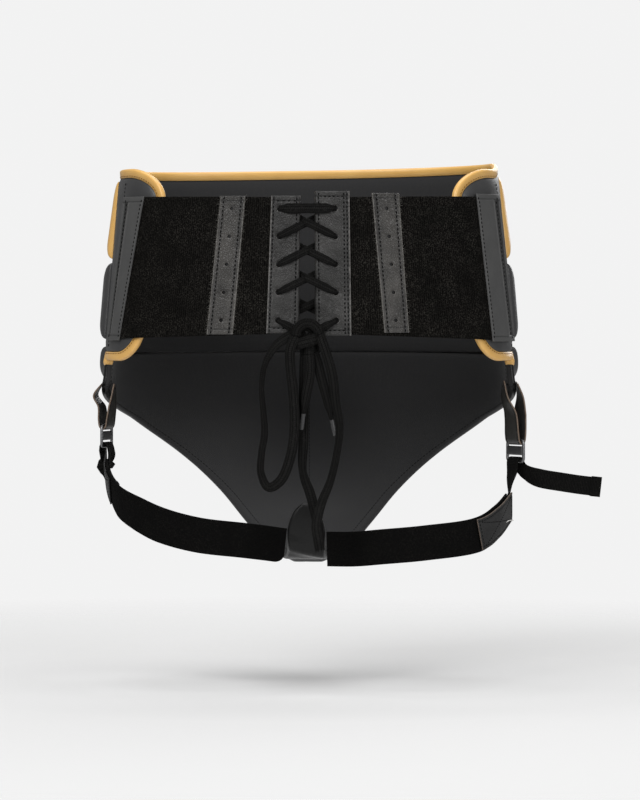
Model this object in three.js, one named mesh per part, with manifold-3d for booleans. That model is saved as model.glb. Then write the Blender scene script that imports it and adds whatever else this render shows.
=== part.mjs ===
// Groin guard for boxing: a padded front shield with two wings that reach back round the hips, an elastic
// belt that is laced at the centre back, and two leg loops with sliders.
// Millimetres, +Z up, +Y to the wearer's front, +X to the wearer's right. The origin is the middle of the
// hips at the belt's mid height. An arc is a distance round the hips from the centre back, plus towards +X.
import * as THREE from "three";
import { mergeVertices } from "three/addons/utils/BufferGeometryUtils.js";
import Module from "manifold-3d";

// Hips at belt height, their growth for each millimetre down, and the power that squares their oval
const HIP = {
  halfWidth: 177.5,
  backDepth: 108,
  frontDepth: 112,
  widthFlare: 0.083,
  depthFlare: 0.03,
  square: 2.25,
};

// Layers of the belt and the shield, measured outwards from the inner face of the elastic
const GAP = 0.3;
const ELASTIC = { inside: 0, outside: 2 };
const STRIP = { inside: 2.3, outside: 3.7 };
const LACING_PANEL = { inside: -1.6, outside: 3.7, seam: 5 };
const SHELL = { inside: -7.3, outside: -0.3 };
const PAD_SEAT = { band: 0.3, groin: 1.6 };

// Shield band: edges inside the binding, its oval corners, and the wing's end, which slants with height
const BAND = { top: 80, bottom: -77, end: 151.5, endSlant: -0.121 };
const TOP_CORNER = { along: 45, up: 23, steps: 9 };
const BOTTOM_CORNER = { along: 24, up: 22, steps: 7 };
const FRONT_RISE = { start: 205, end: 262, middle: 3.5, tilt: 3.5 };
const BINDING = { radius: 3.5, sides: 6, start: 225, step: 22 };

// Padded rows on the band, from their back ends round the front
const PAD_START = 224;
const PAD_RIM = 2.5;
const PAD_SHOULDER = 12;
const PADS = [
  { name: "upper_pad", finish: "gold", bottom: 7, top: 77,
    thickBottom: 9, thickTop: 4, rises: true },
  { name: "middle_pad", finish: "black_leather", bottom: -65, top: 4,
    thickBottom: 9, thickTop: 9, rises: false },
];

// Lower shield: its middle line from the band down and back under the crotch, its half width along it, and
// how far its tongue is drawn to the left
const GROIN_LEAD = 17;
const GROIN_FLARE_END = 50;
const GROIN_LINE = [
  { y: 113.8, z: -60 },
  { y: 114.3, z: -77 },
  { y: 115, z: -110 },
  { y: 110, z: -150 },
  { y: 94, z: -190 },
  { y: 62, z: -228 },
  { y: 20, z: -254 },
  { y: -22, z: -262 },
  { y: -46, z: -250 },
  { y: -53, z: -226 },
  { y: -54, z: -206 },
];
const PANEL_REACH = [
  { down: 0, reach: 238 },
  { down: 36, reach: 237 },
  { down: 50, reach: 216 },
  { down: 75, reach: 165 },
  { down: 105, reach: 116 },
  { down: 140, reach: 80 },
  { down: 180, reach: 55 },
  { down: 220, reach: 36 },
  { down: 250, reach: 22 },
  { down: 272, reach: 16.6 },
  { down: 304, reach: 16 },
  { down: 315, reach: 12.5 },
  { down: 323, reach: 6 },
];
const TONGUE_SHIFT = [
  { down: 220, shift: 0 },
  { down: 272, shift: -2.2 },
];
const PAD_REACH = [
  { down: -9, reach: 228 },
  { down: 10, reach: 223 },
  { down: 26, reach: 204 },
  { down: 45, reach: 178 },
  { down: 70, reach: 140 },
  { down: 100, reach: 100 },
  { down: 135, reach: 68 },
  { down: 175, reach: 45 },
  { down: 215, reach: 28 },
  { down: 240, reach: 14 },
];
const GROIN_PAD_THICK = 10;
const CUP = { depth: 24, centre: 95, halfLength: 88, halfWidth: 78 };

// Back belt: arcs at the top and bottom of each piece, and its edges near the lacing and far from it
const ELASTICS = [
  { name: "back_elastic_left", side: -1, innerTop: 28.8, innerBottom: 31, outerTop: 185, outerBottom: 196,
    topNear: 60, topFar: 61.5, bottomNear: -59.5, bottomFar: -64.5 },
  { name: "back_elastic_right", side: 1, innerTop: 31.8, innerBottom: 31.4, outerTop: 196, outerBottom: 208,
    topNear: 60, topFar: 62, bottomNear: -60, bottomFar: -66.5 },
];
const LACING_PANELS = [
  { name: "lacing_panel_left", side: -1, innerTop: 7.8, innerBottom: 8.8, outerTop: 33.3, outerBottom: 35.8,
    top: 61, bottom: -59, eyelet: 26 },
  { name: "lacing_panel_right", side: 1, innerTop: 6, innerBottom: 6, outerTop: 36.5, outerBottom: 36,
    top: 65, bottom: -61, eyelet: 23.5 },
];
const EYELET_STRIPS = [
  { name: "eyelet_strip_left", side: -1, innerTop: 56.6, innerBottom: 64.3, outerTop: 79, outerBottom: 86.8,
    top: 61, bottom: -60 },
  { name: "eyelet_strip_right", side: 1, innerTop: 56.6, innerBottom: 64.3, outerTop: 81.1, outerBottom: 85.4,
    top: 63.5, bottom: -58.5 },
];
const END_STRIPS = [
  { name: "end_strip_left", side: -1, innerTop: 156.3, innerBottom: 175.9,
    outerTop: 186.5, outerBottom: 197.6, top: 61.5, bottom: -65.5 },
  { name: "end_strip_right", side: 1, innerTop: 160.1, innerBottom: 168.1,
    outerTop: 198, outerBottom: 210, top: 64, bottom: -66.5 },
];
const EYELETS = { count: 5, top: 50, pitch: 24.4, laced: 5, empty: 3.4 };

// Lace: a round cord where it is drawn through the eyelets, a flat one where it hangs
const LACE = { radius: 1.5, clear: 0.4, bend: 3, width: 8, thick: 2.4 };
const LACE_CROSSING = { near: 5, far: -7.3, over: 2.9, under: -0.8, behind: -7.2 };
const LACE_ORDER = [
  { row: 5, side: -1, leaves: "inside" },
  { row: 4, side: 1, leaves: "outside" },
  { row: 3, side: -1, leaves: "outside" },
  { row: 2, side: 1, leaves: "outside" },
  { row: 1, side: -1, leaves: "outside" },
  { row: 1, side: 1, leaves: "inside" },
  { row: 2, side: -1, leaves: "inside" },
  { row: 3, side: 1, leaves: "inside" },
  { row: 4, side: -1, leaves: "inside" },
  { row: 5, side: 1, leaves: "outside" },
];
const KNOT = { x: -1.5, y: -117.5, z: -64.5, halfWidth: 9, halfDepth: 6, halfHeight: 13 };
const BAR_ENDS = { left: { x: -9.1, y: -117, z: -57 }, right: { x: 6.1, y: -117, z: -57.2 } };

// Hanging laces, each a list of places along its middle
const BOW_LOOP_LEFT = [
  { x: -12.4, y: -118.6, z: -60 },
  { x: -18.3, y: -118.6, z: -62 },
  { x: -29.6, y: -118.8, z: -71 },
  { x: -38.3, y: -119, z: -87 },
  { x: -40.9, y: -119.2, z: -106 },
  { x: -39.2, y: -119.4, z: -129 },
  { x: -38.3, y: -119.6, z: -146 },
  { x: -40.9, y: -119.8, z: -163 },
  { x: -41.4, y: -120.2, z: -181 },
  { x: -34.8, y: -120.8, z: -193 },
  { x: -24.4, y: -121.2, z: -187 },
  { x: -15.7, y: -121.6, z: -166 },
  { x: -12.2, y: -121.8, z: -140 },
  { x: -13.1, y: -121.9, z: -114 },
  { x: -15.7, y: -121.9, z: -89 },
  { x: -16.2, y: -121.9, z: -75 },
  { x: -13.6, y: -121.8, z: -66 },
  { x: -11, y: -121.7, z: -61.4 },
];
const BOW_LOOP_RIGHT = [
  { x: 9.6, y: -120.2, z: -60 },
  { x: 14.6, y: -121.2, z: -74 },
  { x: 20.5, y: -121.4, z: -95 },
  { x: 23.5, y: -121.5, z: -119.6 },
  { x: 27, y: -121.5, z: -139.6 },
  { x: 25.2, y: -121.4, z: -159.6 },
  { x: 19.2, y: -121.2, z: -186.6 },
  { x: 10.4, y: -121.8, z: -209 },
  { x: 6.8, y: -124.6, z: -226.5 },
  { x: 8.4, y: -126, z: -238.5 },
  { x: 9.5, y: -123.5, z: -245.5 },
  { x: 9.8, y: -117.2, z: -248.2 },
  { x: 9.7, y: -110.8, z: -245.5 },
  { x: 9.2, y: -108.3, z: -238.5 },
  { x: 7.6, y: -109.6, z: -225 },
  { x: 1.7, y: -112.4, z: -200 },
  { x: -5, y: -113.8, z: -180 },
  { x: -4.5, y: -114, z: -152 },
  { x: -4.4, y: -114, z: -131 },
  { x: -4, y: -114.2, z: -105 },
  { x: -3.6, y: -114.8, z: -88 },
  { x: -3.2, y: -115.2, z: -77.6 },
];
const LACE_END_MIDDLE = [
  { x: 0.4, y: -118.6, z: -77.4 },
  { x: 1.2, y: -118.7, z: -88 },
  { x: 0.2, y: -118.8, z: -100 },
  { x: -2.4, y: -118.8, z: -114 },
  { x: -4.4, y: -118.8, z: -129 },
];
const LACE_END_RIGHT = [
  { x: 4.8, y: -115.4, z: -75.4 },
  { x: 7.6, y: -115.6, z: -84 },
  { x: 10.6, y: -116.4, z: -96 },
  { x: 14.4, y: -117, z: -110 },
  { x: 17.6, y: -117.2, z: -122 },
  { x: 20.2, y: -117.2, z: -134.4 },
];
const LACE_TIP = { length: 15, radius: 1.7 };

// Leg loops: places along the middle of each strap, outwards from the centre, and how far it leans back.
// The tab and the slider turn about an upright axis, so that their faces look a little back.
const LEG = { elasticWidth: 31, elasticThick: 2, webWidth: 17, webThick: 1.5 };
const PATCH = { width: 28, thick: 1.4 };
const LEG_SIDES = {
  left: {
    side: -1,
    route: [
      { out: 21.4, y: -49, z: -248, lean: 0 },
      { out: 37, y: -63, z: -245, lean: 0 },
      { out: 58, y: -79, z: -241.5, lean: 0 },
      { out: 98, y: -92, z: -236, lean: 0 },
      { out: 129, y: -87, z: -228, lean: 0 },
      { out: 150, y: -73, z: -219, lean: 5 },
      { out: 168, y: -51, z: -209, lean: 20 },
      { out: 177, y: -31, z: -197, lean: 45 },
      { out: 180.5, y: -17, z: -185, lean: 62 },
      { out: 180, y: -6, z: -173, lean: 82 },
    ],
    elasticEnd: 8.25,
    patch: { from: 6.75, to: 9, seat: 0.4 },
    webStart: [
      { out: 180, y: -10, z: -178, lean: 76 },
      { out: 178.9, y: -3, z: -169, lean: 86, turn: 10 },
    ],
    tail: [
      { out: 185.4, y: 10, z: -169, lean: 84, turn: 14 },
      { out: 184, y: 17, z: -178, lean: 50 },
      { out: 182.8, y: 30, z: -188, lean: 26 },
      { out: 180.5, y: 50, z: -198, lean: 18 },
      { out: 176, y: 74, z: -207, lean: 14 },
    ],
    tabTop: -106,
    tabBulge: 10.1,
    loopBottom: -146,
    sliderOut: 182.5,
    turn: 18,
  },
  right: {
    side: 1,
    route: [
      { out: 16.2, y: -48, z: -251, lean: 0 },
      { out: 40, y: -66, z: -250, lean: 0 },
      { out: 64, y: -84, z: -247, lean: 0 },
      { out: 103, y: -92, z: -243, lean: 0 },
      { out: 149, y: -72, z: -237, lean: 0 },
      { out: 166, y: -50, z: -227, lean: 10 },
      { out: 179, y: -20, z: -214, lean: 20 },
    ],
    elasticEnd: 5.8,
    patch: { from: 4, to: 6, seat: 1.2 },
    webStart: [
      { out: 176.6, y: -23, z: -212, lean: 55 },
      { out: 181, y: -8, z: -200, lean: 75 },
      { out: 183, y: 3, z: -187, lean: 90, turn: 26 },
    ],
    tail: [
      { out: 191.8, y: 7, z: -181.5, lean: 74, turn: 30 },
      { out: 198, y: 2, z: -186.5, lean: 30, turn: 8 },
      { out: 208, y: -2, z: -190, lean: 5 },
      { out: 227.7, y: -3, z: -193.4, lean: 0 },
      { out: 245, y: -3, z: -196, lean: 0 },
      { out: 262.8, y: -2, z: -198, lean: 0 },
    ],
    tabTop: -104,
    tabBulge: 4.4,
    loopBottom: -159.5,
    sliderOut: 186.3,
    turn: 32,
  },
};
const TAB = { width: 21.5, thick: 1.4, y: 6, topOuter: 187.4, topInner: 175.4 };
const SLIDER = {
  width: 28,
  thick: 2.4,
  rim: 2.6,
  barTop: 3.2,
  slotTop: 3.4,
  barMiddle: 8.2,
  slotBottom: 3.9,
  barBottom: 3.2,
  hold: 1.8,
  sink: 1.8,
};

// Finishes
const FINISHES = {
  gold: new THREE.MeshStandardMaterial({ color: 0xe0b773, roughness: 0.4, metalness: 0.2 }),
  black_leather: new THREE.MeshStandardMaterial({ color: 0x3b3a39, roughness: 0.5, metalness: 0 }),
  elastic: new THREE.MeshStandardMaterial({ color: 0x181715, roughness: 0.95, metalness: 0 }),
  lace: new THREE.MeshStandardMaterial({ color: 0x1e1d1c, roughness: 0.9, metalness: 0 }),
  webbing: new THREE.MeshStandardMaterial({ color: 0x1a1a1a, roughness: 0.9, metalness: 0 }),
  metal: new THREE.MeshStandardMaterial({ color: 0xb9bbbd, roughness: 0.3, metalness: 1 }),
  clear_tip: new THREE.MeshStandardMaterial({ color: 0x8f9090, roughness: 0.3, metalness: 0 }),
};

const wasm = await Module();
wasm.setup();
const guard = new THREE.Group();
const lerp = THREE.MathUtils.lerp;

// Helpers for solids

function addPiece(name, finish, geometry) {
  const mesh = new THREE.Mesh(geometry, FINISHES[finish]);
  mesh.name = name;
  guard.add(mesh);
}

function merged(geometry) {
  const bare = geometry.clone();
  bare.deleteAttribute("normal");
  bare.deleteAttribute("uv");
  return mergeVertices(bare, 1e-4);
}

function solidOf(geometry) {
  const bare = merged(geometry);
  const vertProperties = new Float32Array(bare.attributes.position.array);
  const triVerts = new Uint32Array(bare.index.array);
  return new wasm.Manifold(new wasm.Mesh({ numProp: 3, vertProperties, triVerts }));
}

function cut(geometry, tools) {
  let body = solidOf(geometry);
  for (const tool of tools) {
    body = body.subtract(solidOf(tool));
  }
  const mesh = body.getMesh();
  const result = new THREE.BufferGeometry();
  result.setAttribute("position", new THREE.BufferAttribute(new Float32Array(mesh.vertProperties), 3));
  result.setIndex(new THREE.BufferAttribute(new Uint32Array(mesh.triVerts), 1));
  return result;
}

// A box whose unit coordinates along, up and out are carried to a place by a function
function bentBox(columns, rows, place) {
  const geometry = merged(new THREE.BoxGeometry(1, 1, 1, columns, rows, 1));
  const position = geometry.attributes.position;
  for (let i = 0; i < position.count; i += 1) {
    const point = place(position.getX(i) + 0.5, position.getY(i) + 0.5, position.getZ(i) + 0.5);
    position.setXYZ(i, point.x, point.y, point.z);
  }
  return geometry;
}

// Unit steps that lie closer together towards both ends
function crowdEnds(unit, strength = 1) {
  return lerp(unit, 0.5 - 0.5 * Math.cos(Math.PI * unit), strength);
}

function columnOf(table, key, value, column) {
  let next = table.findIndex((row) => row[key] >= value);
  next = THREE.MathUtils.clamp(next < 0 ? table.length - 1 : next, 1, table.length - 1);
  const [low, high] = [table[next - 1], table[next]];
  const share = THREE.MathUtils.clamp((value - low[key]) / (high[key] - low[key]), 0, 1);
  return lerp(low[column], high[column], share);
}

// A curve whose even steps fall on its own points, so that tight bends get the steps they need
class Route extends THREE.CatmullRomCurve3 {
  getPointAt(share, target) {
    return this.getPoint(share, target);
  }

  getTangentAt(share, target) {
    return this.getTangent(share, target);
  }
}

function ovalSection(halfThick, halfWidth, sides) {
  const corners = [];
  for (let i = 0; i < sides; i += 1) {
    const turn = ((i + 0.5) / sides) * 2 * Math.PI;
    corners.push(new THREE.Vector2(halfThick * Math.cos(turn), halfWidth * Math.sin(turn)));
  }
  return new THREE.Shape(corners);
}

function tubeAlong(points, section) {
  const extrudePath = new Route(points);
  const steps = points.length - 1;
  return merged(new THREE.ExtrudeGeometry(section, { steps, extrudePath }));
}

// The hips

function hipPoint(angle, z, offset) {
  const [sine, cosine] = [Math.sin(angle), Math.cos(angle)];
  const halfWidth = HIP.halfWidth - HIP.widthFlare * z;
  const depth = (cosine > 0 ? HIP.backDepth : HIP.frontDepth) - HIP.depthFlare * z;
  const power = 2 / HIP.square;
  const raised = (value, exponent) => Math.sign(value) * Math.abs(value) ** exponent;
  const slope = 2 - power;
  const normal = new THREE.Vector3(raised(sine, slope) / halfWidth, -raised(cosine, slope) / depth, 0);
  const onForm = new THREE.Vector3(halfWidth * raised(sine, power), -depth * raised(cosine, power), z);
  return onForm.addScaledVector(normal.normalize(), offset);
}

const GIRTH = [{ angle: 0, arc: 0 }];
for (let degree = 1; degree <= 180; degree += 1) {
  const angle = THREE.MathUtils.degToRad(degree);
  const before = GIRTH[degree - 1];
  const arc = before.arc + hipPoint(angle, 0, 0).distanceTo(hipPoint(before.angle, 0, 0));
  GIRTH.push({ angle, arc });
}
const HALF_GIRTH = GIRTH[180].arc;

function angleAt(arc) {
  if (arc < 0) {
    return -angleAt(-arc);
  }
  if (arc > HALF_GIRTH) {
    return 2 * Math.PI - angleAt(2 * HALF_GIRTH - arc);
  }
  return columnOf(GIRTH, "arc", arc, "angle");
}

// Shield band with its wings, its binding and its padded rows

const BAND_LENGTH = 2 * (HALF_GIRTH - BAND.end);

function bandArc(run, z) {
  const start = BAND.end + BAND.endSlant * z;
  return lerp(start, 2 * HALF_GIRTH - start, run / BAND_LENGTH);
}

function bandRun(arc, z) {
  const start = BAND.end + BAND.endSlant * z;
  return (BAND_LENGTH * (arc - start)) / (2 * (HALF_GIRTH - start));
}

function frontRise(arc) {
  const near = Math.min(arc, 2 * HALF_GIRTH - arc);
  const share = THREE.MathUtils.smoothstep(near, FRONT_RISE.start, FRONT_RISE.end);
  return share * (FRONT_RISE.middle + FRONT_RISE.tilt * Math.sin(angleAt(arc)));
}

function bandTop(run) {
  return BAND.top + frontRise(bandArc(run, 0));
}

function cornerDrop(run, corner) {
  const away = 1 - Math.min(run, BAND_LENGTH - run, corner.along) / corner.along;
  return corner.up * (1 - Math.sqrt(1 - away ** 2));
}

function shieldBand() {
  return bentBox(52, 1, (along, up, out) => {
    const run = BAND_LENGTH * crowdEnds(along);
    const low = BAND.bottom + cornerDrop(run, BOTTOM_CORNER);
    const z = lerp(low, bandTop(run) - cornerDrop(run, TOP_CORNER), up);
    return hipPoint(angleAt(bandArc(run, z)), z, lerp(SHELL.inside, SHELL.outside, out));
  });
}

function bindingHalf(lastRun) {
  const grow = BINDING.radius + GAP;
  const { bottom, top } = BAND;
  const lowEnd = bottom + BOTTOM_CORNER.up;
  const highEnd = top - TOP_CORNER.up;
  const places = [];
  const addCorner = ({ along, up, steps }, middle, from) => {
    for (let i = 0; i <= steps; i += 1) {
      const turn = from - (i / steps) * 0.5 * Math.PI;
      places.push({ run: along + (along + grow) * Math.cos(turn), z: middle + (up + grow) * Math.sin(turn) });
    }
  };
  for (let run = bandRun(BINDING.start, bottom - grow); run > BOTTOM_CORNER.along; run -= BINDING.step) {
    places.push({ run, z: bottom - grow });
  }
  addCorner(BOTTOM_CORNER, lowEnd, 1.5 * Math.PI);
  const endSteps = 4;
  for (let i = 1; i < endSteps; i += 1) {
    places.push({ run: -grow, z: lerp(lowEnd, highEnd, i / endSteps) });
  }
  addCorner(TOP_CORNER, highEnd, Math.PI);
  for (let run = TOP_CORNER.along + BINDING.step; run < lastRun; run += BINDING.step) {
    places.push({ run, z: bandTop(run) + grow });
  }
  return places;
}

function edgeBinding() {
  const middle = BAND_LENGTH / 2;
  const right = bindingHalf(middle - BINDING.step / 2);
  const left = right.map(({ run, z }) => {
    const mirrored = BAND_LENGTH - run;
    const rise = frontRise(bandArc(mirrored, 0)) - frontRise(bandArc(run, 0));
    return { run: mirrored, z: z + (z > 0 ? rise : 0) };
  });
  const places = [...right, ...left.reverse()];
  const depth = (SHELL.inside + SHELL.outside) / 2;
  const points = places.map(({ run, z }) => hipPoint(angleAt(bandArc(run, z)), z, depth));
  return tubeAlong(points, ovalSection(BINDING.radius, BINDING.radius, BINDING.sides));
}

// Share of a pad's full thickness at a distance in from its rim
function shoulder(inset) {
  const away = 1 - Math.min(inset / PAD_SHOULDER, 1);
  return Math.sqrt(1 - away ** 2);
}

function bandPad({ bottom, top, thickBottom, thickTop, rises }) {
  const length = 2 * (HALF_GIRTH - PAD_START);
  return bentBox(28, 5, (along, up, out) => {
    const run = length * crowdEnds(along, 0.7);
    const arc = PAD_START + run;
    const height = crowdEnds(up);
    const upper = rises ? top + frontRise(arc) : top;
    const z = lerp(bottom, upper, height);
    const inset = Math.min(run, length - run, z - bottom, upper - z);
    const thick = lerp(PAD_RIM, lerp(thickBottom, thickTop, height), shoulder(inset));
    return hipPoint(angleAt(arc), z, PAD_SEAT.band + out * thick);
  });
}

// Lower shield with the cup, the side flaps and the tongue

const GROIN_CURVE = new THREE.CatmullRomCurve3(GROIN_LINE.map(({ y, z }) => new THREE.Vector3(0, y, z)));
const GROIN_LENGTH = GROIN_CURVE.getLength();

function bell(share) {
  return Math.abs(share) < 1 ? Math.cos((share * Math.PI) / 2) ** 2 : 0;
}

function groinForm(reach, down) {
  const share = THREE.MathUtils.clamp((down + GROIN_LEAD) / GROIN_LENGTH, 0, 1);
  const middle = GROIN_CURVE.getPointAt(share);
  const tangent = GROIN_CURVE.getTangentAt(share);
  const normal = new THREE.Vector3(0, -tangent.z, tangent.y);
  const height = BAND.bottom - Math.min(down, GROIN_FLARE_END);
  const section = hipPoint(angleAt(HALF_GIRTH - reach), height, 0);
  const fallBack = hipPoint(Math.PI, height, 0).y - section.y;
  const cup = CUP.depth * bell(reach / CUP.halfWidth) * bell((down - CUP.centre) / CUP.halfLength);
  return middle.setX(section.x).addScaledVector(normal, cup - fallBack);
}

function groinPoint(reach, down, offset) {
  const step = 0.5;
  const along = groinForm(reach + step, down).sub(groinForm(reach - step, down));
  const fall = groinForm(reach, down + step).sub(groinForm(reach, down - step));
  const normal = along.cross(fall).normalize();
  return groinForm(reach, down).addScaledVector(normal, offset);
}

function groinPanel() {
  const start = GAP;
  const end = PANEL_REACH.at(-1).down;
  return bentBox(18, 18, (along, up, out) => {
    const down = lerp(end, start, crowdEnds(up, 0.5));
    const half = columnOf(PANEL_REACH, "down", down, "reach");
    const reach = half * (1 - 2 * crowdEnds(along, 0.3)) + columnOf(TONGUE_SHIFT, "down", down, "shift");
    return groinPoint(reach, down, lerp(SHELL.inside, SHELL.outside, out));
  });
}

function groinPad() {
  const start = PAD_REACH[0].down;
  const end = PAD_REACH.at(-1).down;
  return bentBox(18, 15, (along, up, out) => {
    const down = lerp(end, start, crowdEnds(up, 0.5));
    const half = columnOf(PAD_REACH, "down", down, "reach");
    const reach = half * (1 - 2 * crowdEnds(along, 0.4));
    const inset = Math.min(half - Math.abs(reach), down - start, end - down);
    const thick = lerp(PAD_RIM, GROIN_PAD_THICK, shoulder(inset));
    return groinPoint(reach, down, PAD_SEAT.groin + out * thick);
  });
}

// Back belt

function beltPiece(row, layer, columns, rows) {
  const near = row.side > 0 ? 0 : 1;
  return bentBox(columns, rows, (along, up, out) => {
    const away = Math.abs(along - near);
    const top = lerp(row.topNear ?? row.top, row.topFar ?? row.top, away);
    const bottom = lerp(row.bottomNear ?? row.bottom, row.bottomFar ?? row.bottom, away);
    const inner = lerp(row.innerBottom, row.innerTop, up);
    const outer = lerp(row.outerBottom, row.outerTop, up);
    const z = lerp(bottom, top, up);
    return hipPoint(angleAt(row.side * lerp(inner, outer, away)), z, lerp(layer.inside, layer.outside, out));
  });
}

function eyeletHeight(row) {
  return EYELETS.top - row * EYELETS.pitch;
}

// A round cutter through the belt at an arc and a height
function eyeletCutter(arc, z, diameter, sides) {
  const length = 20;
  const cutter = new THREE.CylinderGeometry(diameter / 2, diameter / 2, length, sides);
  const middle = hipPoint(angleAt(arc), z, 0);
  const axis = hipPoint(angleAt(arc), z, 1).sub(middle);
  cutter.applyQuaternion(new THREE.Quaternion().setFromUnitVectors(new THREE.Vector3(0, 1, 0), axis));
  return cutter.translate(middle.x, middle.y, middle.z);
}

function emptyEyelets(strip) {
  const cutters = [];
  for (let row = 0; row < EYELETS.count; row += 1) {
    const z = eyeletHeight(row);
    const up = (z - strip.bottom) / (strip.top - strip.bottom);
    const inner = lerp(strip.innerBottom, strip.innerTop, up);
    const outer = lerp(strip.outerBottom, strip.outerTop, up);
    cutters.push(eyeletCutter(strip.side * lerp(inner, outer, 0.5), z, EYELETS.empty, 8));
  }
  return cutters;
}

function lacingPanel(panel) {
  const slot = {
    ...panel,
    innerTop: panel.outerTop - LACING_PANEL.seam - 1,
    innerBottom: panel.outerBottom - LACING_PANEL.seam - 1,
    outerTop: panel.outerTop + 1,
    outerBottom: panel.outerBottom + 1,
    top: panel.top + 1,
    bottom: panel.bottom - 1,
  };
  const slotLayer = { inside: ELASTIC.inside - GAP, outside: ELASTIC.outside + GAP };
  const tools = [beltPiece(slot, slotLayer, 1, 1)];
  for (let row = 0; row < EYELETS.count; row += 1) {
    tools.push(eyeletCutter(panel.side * panel.eyelet, eyeletHeight(row), EYELETS.laced, 10));
  }
  return cut(beltPiece(panel, LACING_PANEL, 3, 1), tools);
}

// Lace through the eyelets, worked out in arc, height and distance outwards

const LACE_OUTSIDE = LACING_PANEL.outside + LACE.clear + LACE.radius;
const LACE_INSIDE = LACING_PANEL.inside - LACE.clear - LACE.radius;

function eyeletPlace({ row, side }) {
  const panel = LACING_PANELS.find((candidate) => candidate.side === side);
  return { arc: side * panel.eyelet, z: eyeletHeight(row - 1) };
}

// The bend between an eyelet's bore and the face of the panel, from the bore outwards
function eyeletBend(eyelet, face, direction) {
  const level = face === "outside" ? LACE_OUTSIDE : LACE_INSIDE;
  const inward = face === "outside" ? -1 : 1;
  return [0.5, 1].map((share) => {
    const turn = share * 0.5 * Math.PI;
    const away = LACE.bend * (1 - Math.cos(turn));
    return {
      arc: eyelet.arc + direction.x * away,
      z: eyelet.z + direction.y * away,
      offset: level + inward * LACE.bend * (1 - Math.sin(turn)),
    };
  });
}

function crossingPlaces(from, to, leaves, arrives) {
  const atArc = (arc, offset) => {
    const share = (arc - from.arc) / (to.arc - from.arc);
    return { arc, z: lerp(from.z, to.z, share), offset };
  };
  const [right, left] = [LACE_CROSSING.near, LACE_CROSSING.far];
  const middle = (right + left) / 2;
  const [first, last] = from.arc > to.arc ? [right, left] : [left, right];
  const level = { outside: LACE_OUTSIDE, inside: LACE_INSIDE };
  if (leaves === "inside" && arrives === "inside") {
    return from.arc < to.arc && from.z > to.z ? [atArc(middle, LACE_CROSSING.behind)] : [];
  }
  if (leaves === arrives) {
    return [];
  }
  const height = leaves === "outside" ? LACE_CROSSING.over : LACE_CROSSING.under;
  return [atArc(first, level[leaves]), atArc(middle, height), atArc(last, level[arrives])];
}

function lacing() {
  const opposite = { inside: "outside", outside: "inside" };
  const boreMiddle = (LACING_PANEL.inside + LACING_PANEL.outside) / 2;
  const places = [];
  const stops = LACE_ORDER.map((stop) => ({ ...stop, ...eyeletPlace(stop) }));
  const toward = (a, b) => new THREE.Vector2(b.arc - a.arc, b.z - a.z).normalize();
  const firstBar = { arc: BAR_ENDS.left.x, z: BAR_ENDS.left.z };
  const lastBar = { arc: BAR_ENDS.right.x, z: BAR_ENDS.right.z };
  places.push(...eyeletBend(stops[0], "outside", toward(stops[0], firstBar)).reverse());
  stops.forEach((stop, i) => {
    places.push({ arc: stop.arc, z: stop.z, offset: boreMiddle });
    const next = stops[i + 1] ?? lastBar;
    const direction = toward(stop, next);
    places.push(...eyeletBend(stop, stop.leaves, direction));
    if (next !== lastBar) {
      const arrives = opposite[next.leaves];
      places.push(...crossingPlaces(stop, next, stop.leaves, arrives));
      places.push(...eyeletBend(next, arrives, direction.clone().negate()).reverse());
    }
  });
  const points = places.map(({ arc, z, offset }) => hipPoint(angleAt(arc), z, offset));
  const ends = [BAR_ENDS.left, BAR_ENDS.right].map(({ x, y, z }) => new THREE.Vector3(x, y, z));
  return tubeAlong([ends[0], ...points, ends[1]], ovalSection(LACE.radius, LACE.radius, 8));
}

function laceKnot() {
  const knot = merged(new THREE.SphereGeometry(1, 14, 9));
  knot.scale(KNOT.halfWidth, KNOT.halfDepth, KNOT.halfHeight);
  return knot.translate(KNOT.x, KNOT.y, KNOT.z);
}

function hangingLace(route) {
  const points = route.map(({ x, y, z }) => new THREE.Vector3(x, y, z));
  return tubeAlong(points, ovalSection(LACE.thick / 2, LACE.width / 2, 8));
}

function laceTip(route) {
  const [before, last] = route.slice(-2).map(({ x, y, z }) => new THREE.Vector3(x, y, z));
  const direction = last.clone().sub(before).normalize();
  const middle = last.clone().addScaledVector(direction, GAP + LACE_TIP.length / 2);
  const tip = new THREE.CylinderGeometry(LACE_TIP.radius, LACE_TIP.radius, LACE_TIP.length, 10);
  tip.applyQuaternion(new THREE.Quaternion().setFromUnitVectors(new THREE.Vector3(0, 1, 0), direction));
  return merged(tip.translate(middle.x, middle.y, middle.z));
}

// Leg loops

const UPRIGHT = new THREE.Vector3(0, 0, 1);

// A flat strap along a route's rows, its width upright at a lean of 0 and pointing back at 90 degrees,
// then turned about an upright axis where a row has a turn
function strap(route, side, { width, inside, outside, stepsEach, from = 0, to = route.length - 1 }) {
  const curve = new THREE.CatmullRomCurve3(route.map(({ out, y, z }) => new THREE.Vector3(side * out, y, z)));
  const rows = route.map(({ lean, turn = 0 }, index) => ({ index, lean, turn }));
  const spans = route.length - 1;
  return bentBox(Math.ceil((to - from) * stepsEach), 1, (along, up, out) => {
    const index = lerp(from, to, along);
    const tangent = curve.getTangent(index / spans);
    const lean = THREE.MathUtils.degToRad(columnOf(rows, "index", index, "lean"));
    const turn = THREE.MathUtils.degToRad(columnOf(rows, "index", index, "turn"));
    const across = new THREE.Vector3(0, -side * Math.sin(lean), side * Math.cos(lean));
    across.applyAxisAngle(UPRIGHT, side * turn);
    across.addScaledVector(tangent, -across.dot(tangent)).normalize();
    const normal = tangent.clone().cross(across);
    const place = curve.getPoint(index / spans).addScaledVector(across, (up - 0.5) * width);
    return place.addScaledVector(normal, lerp(inside, outside, out));
  });
}

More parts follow.
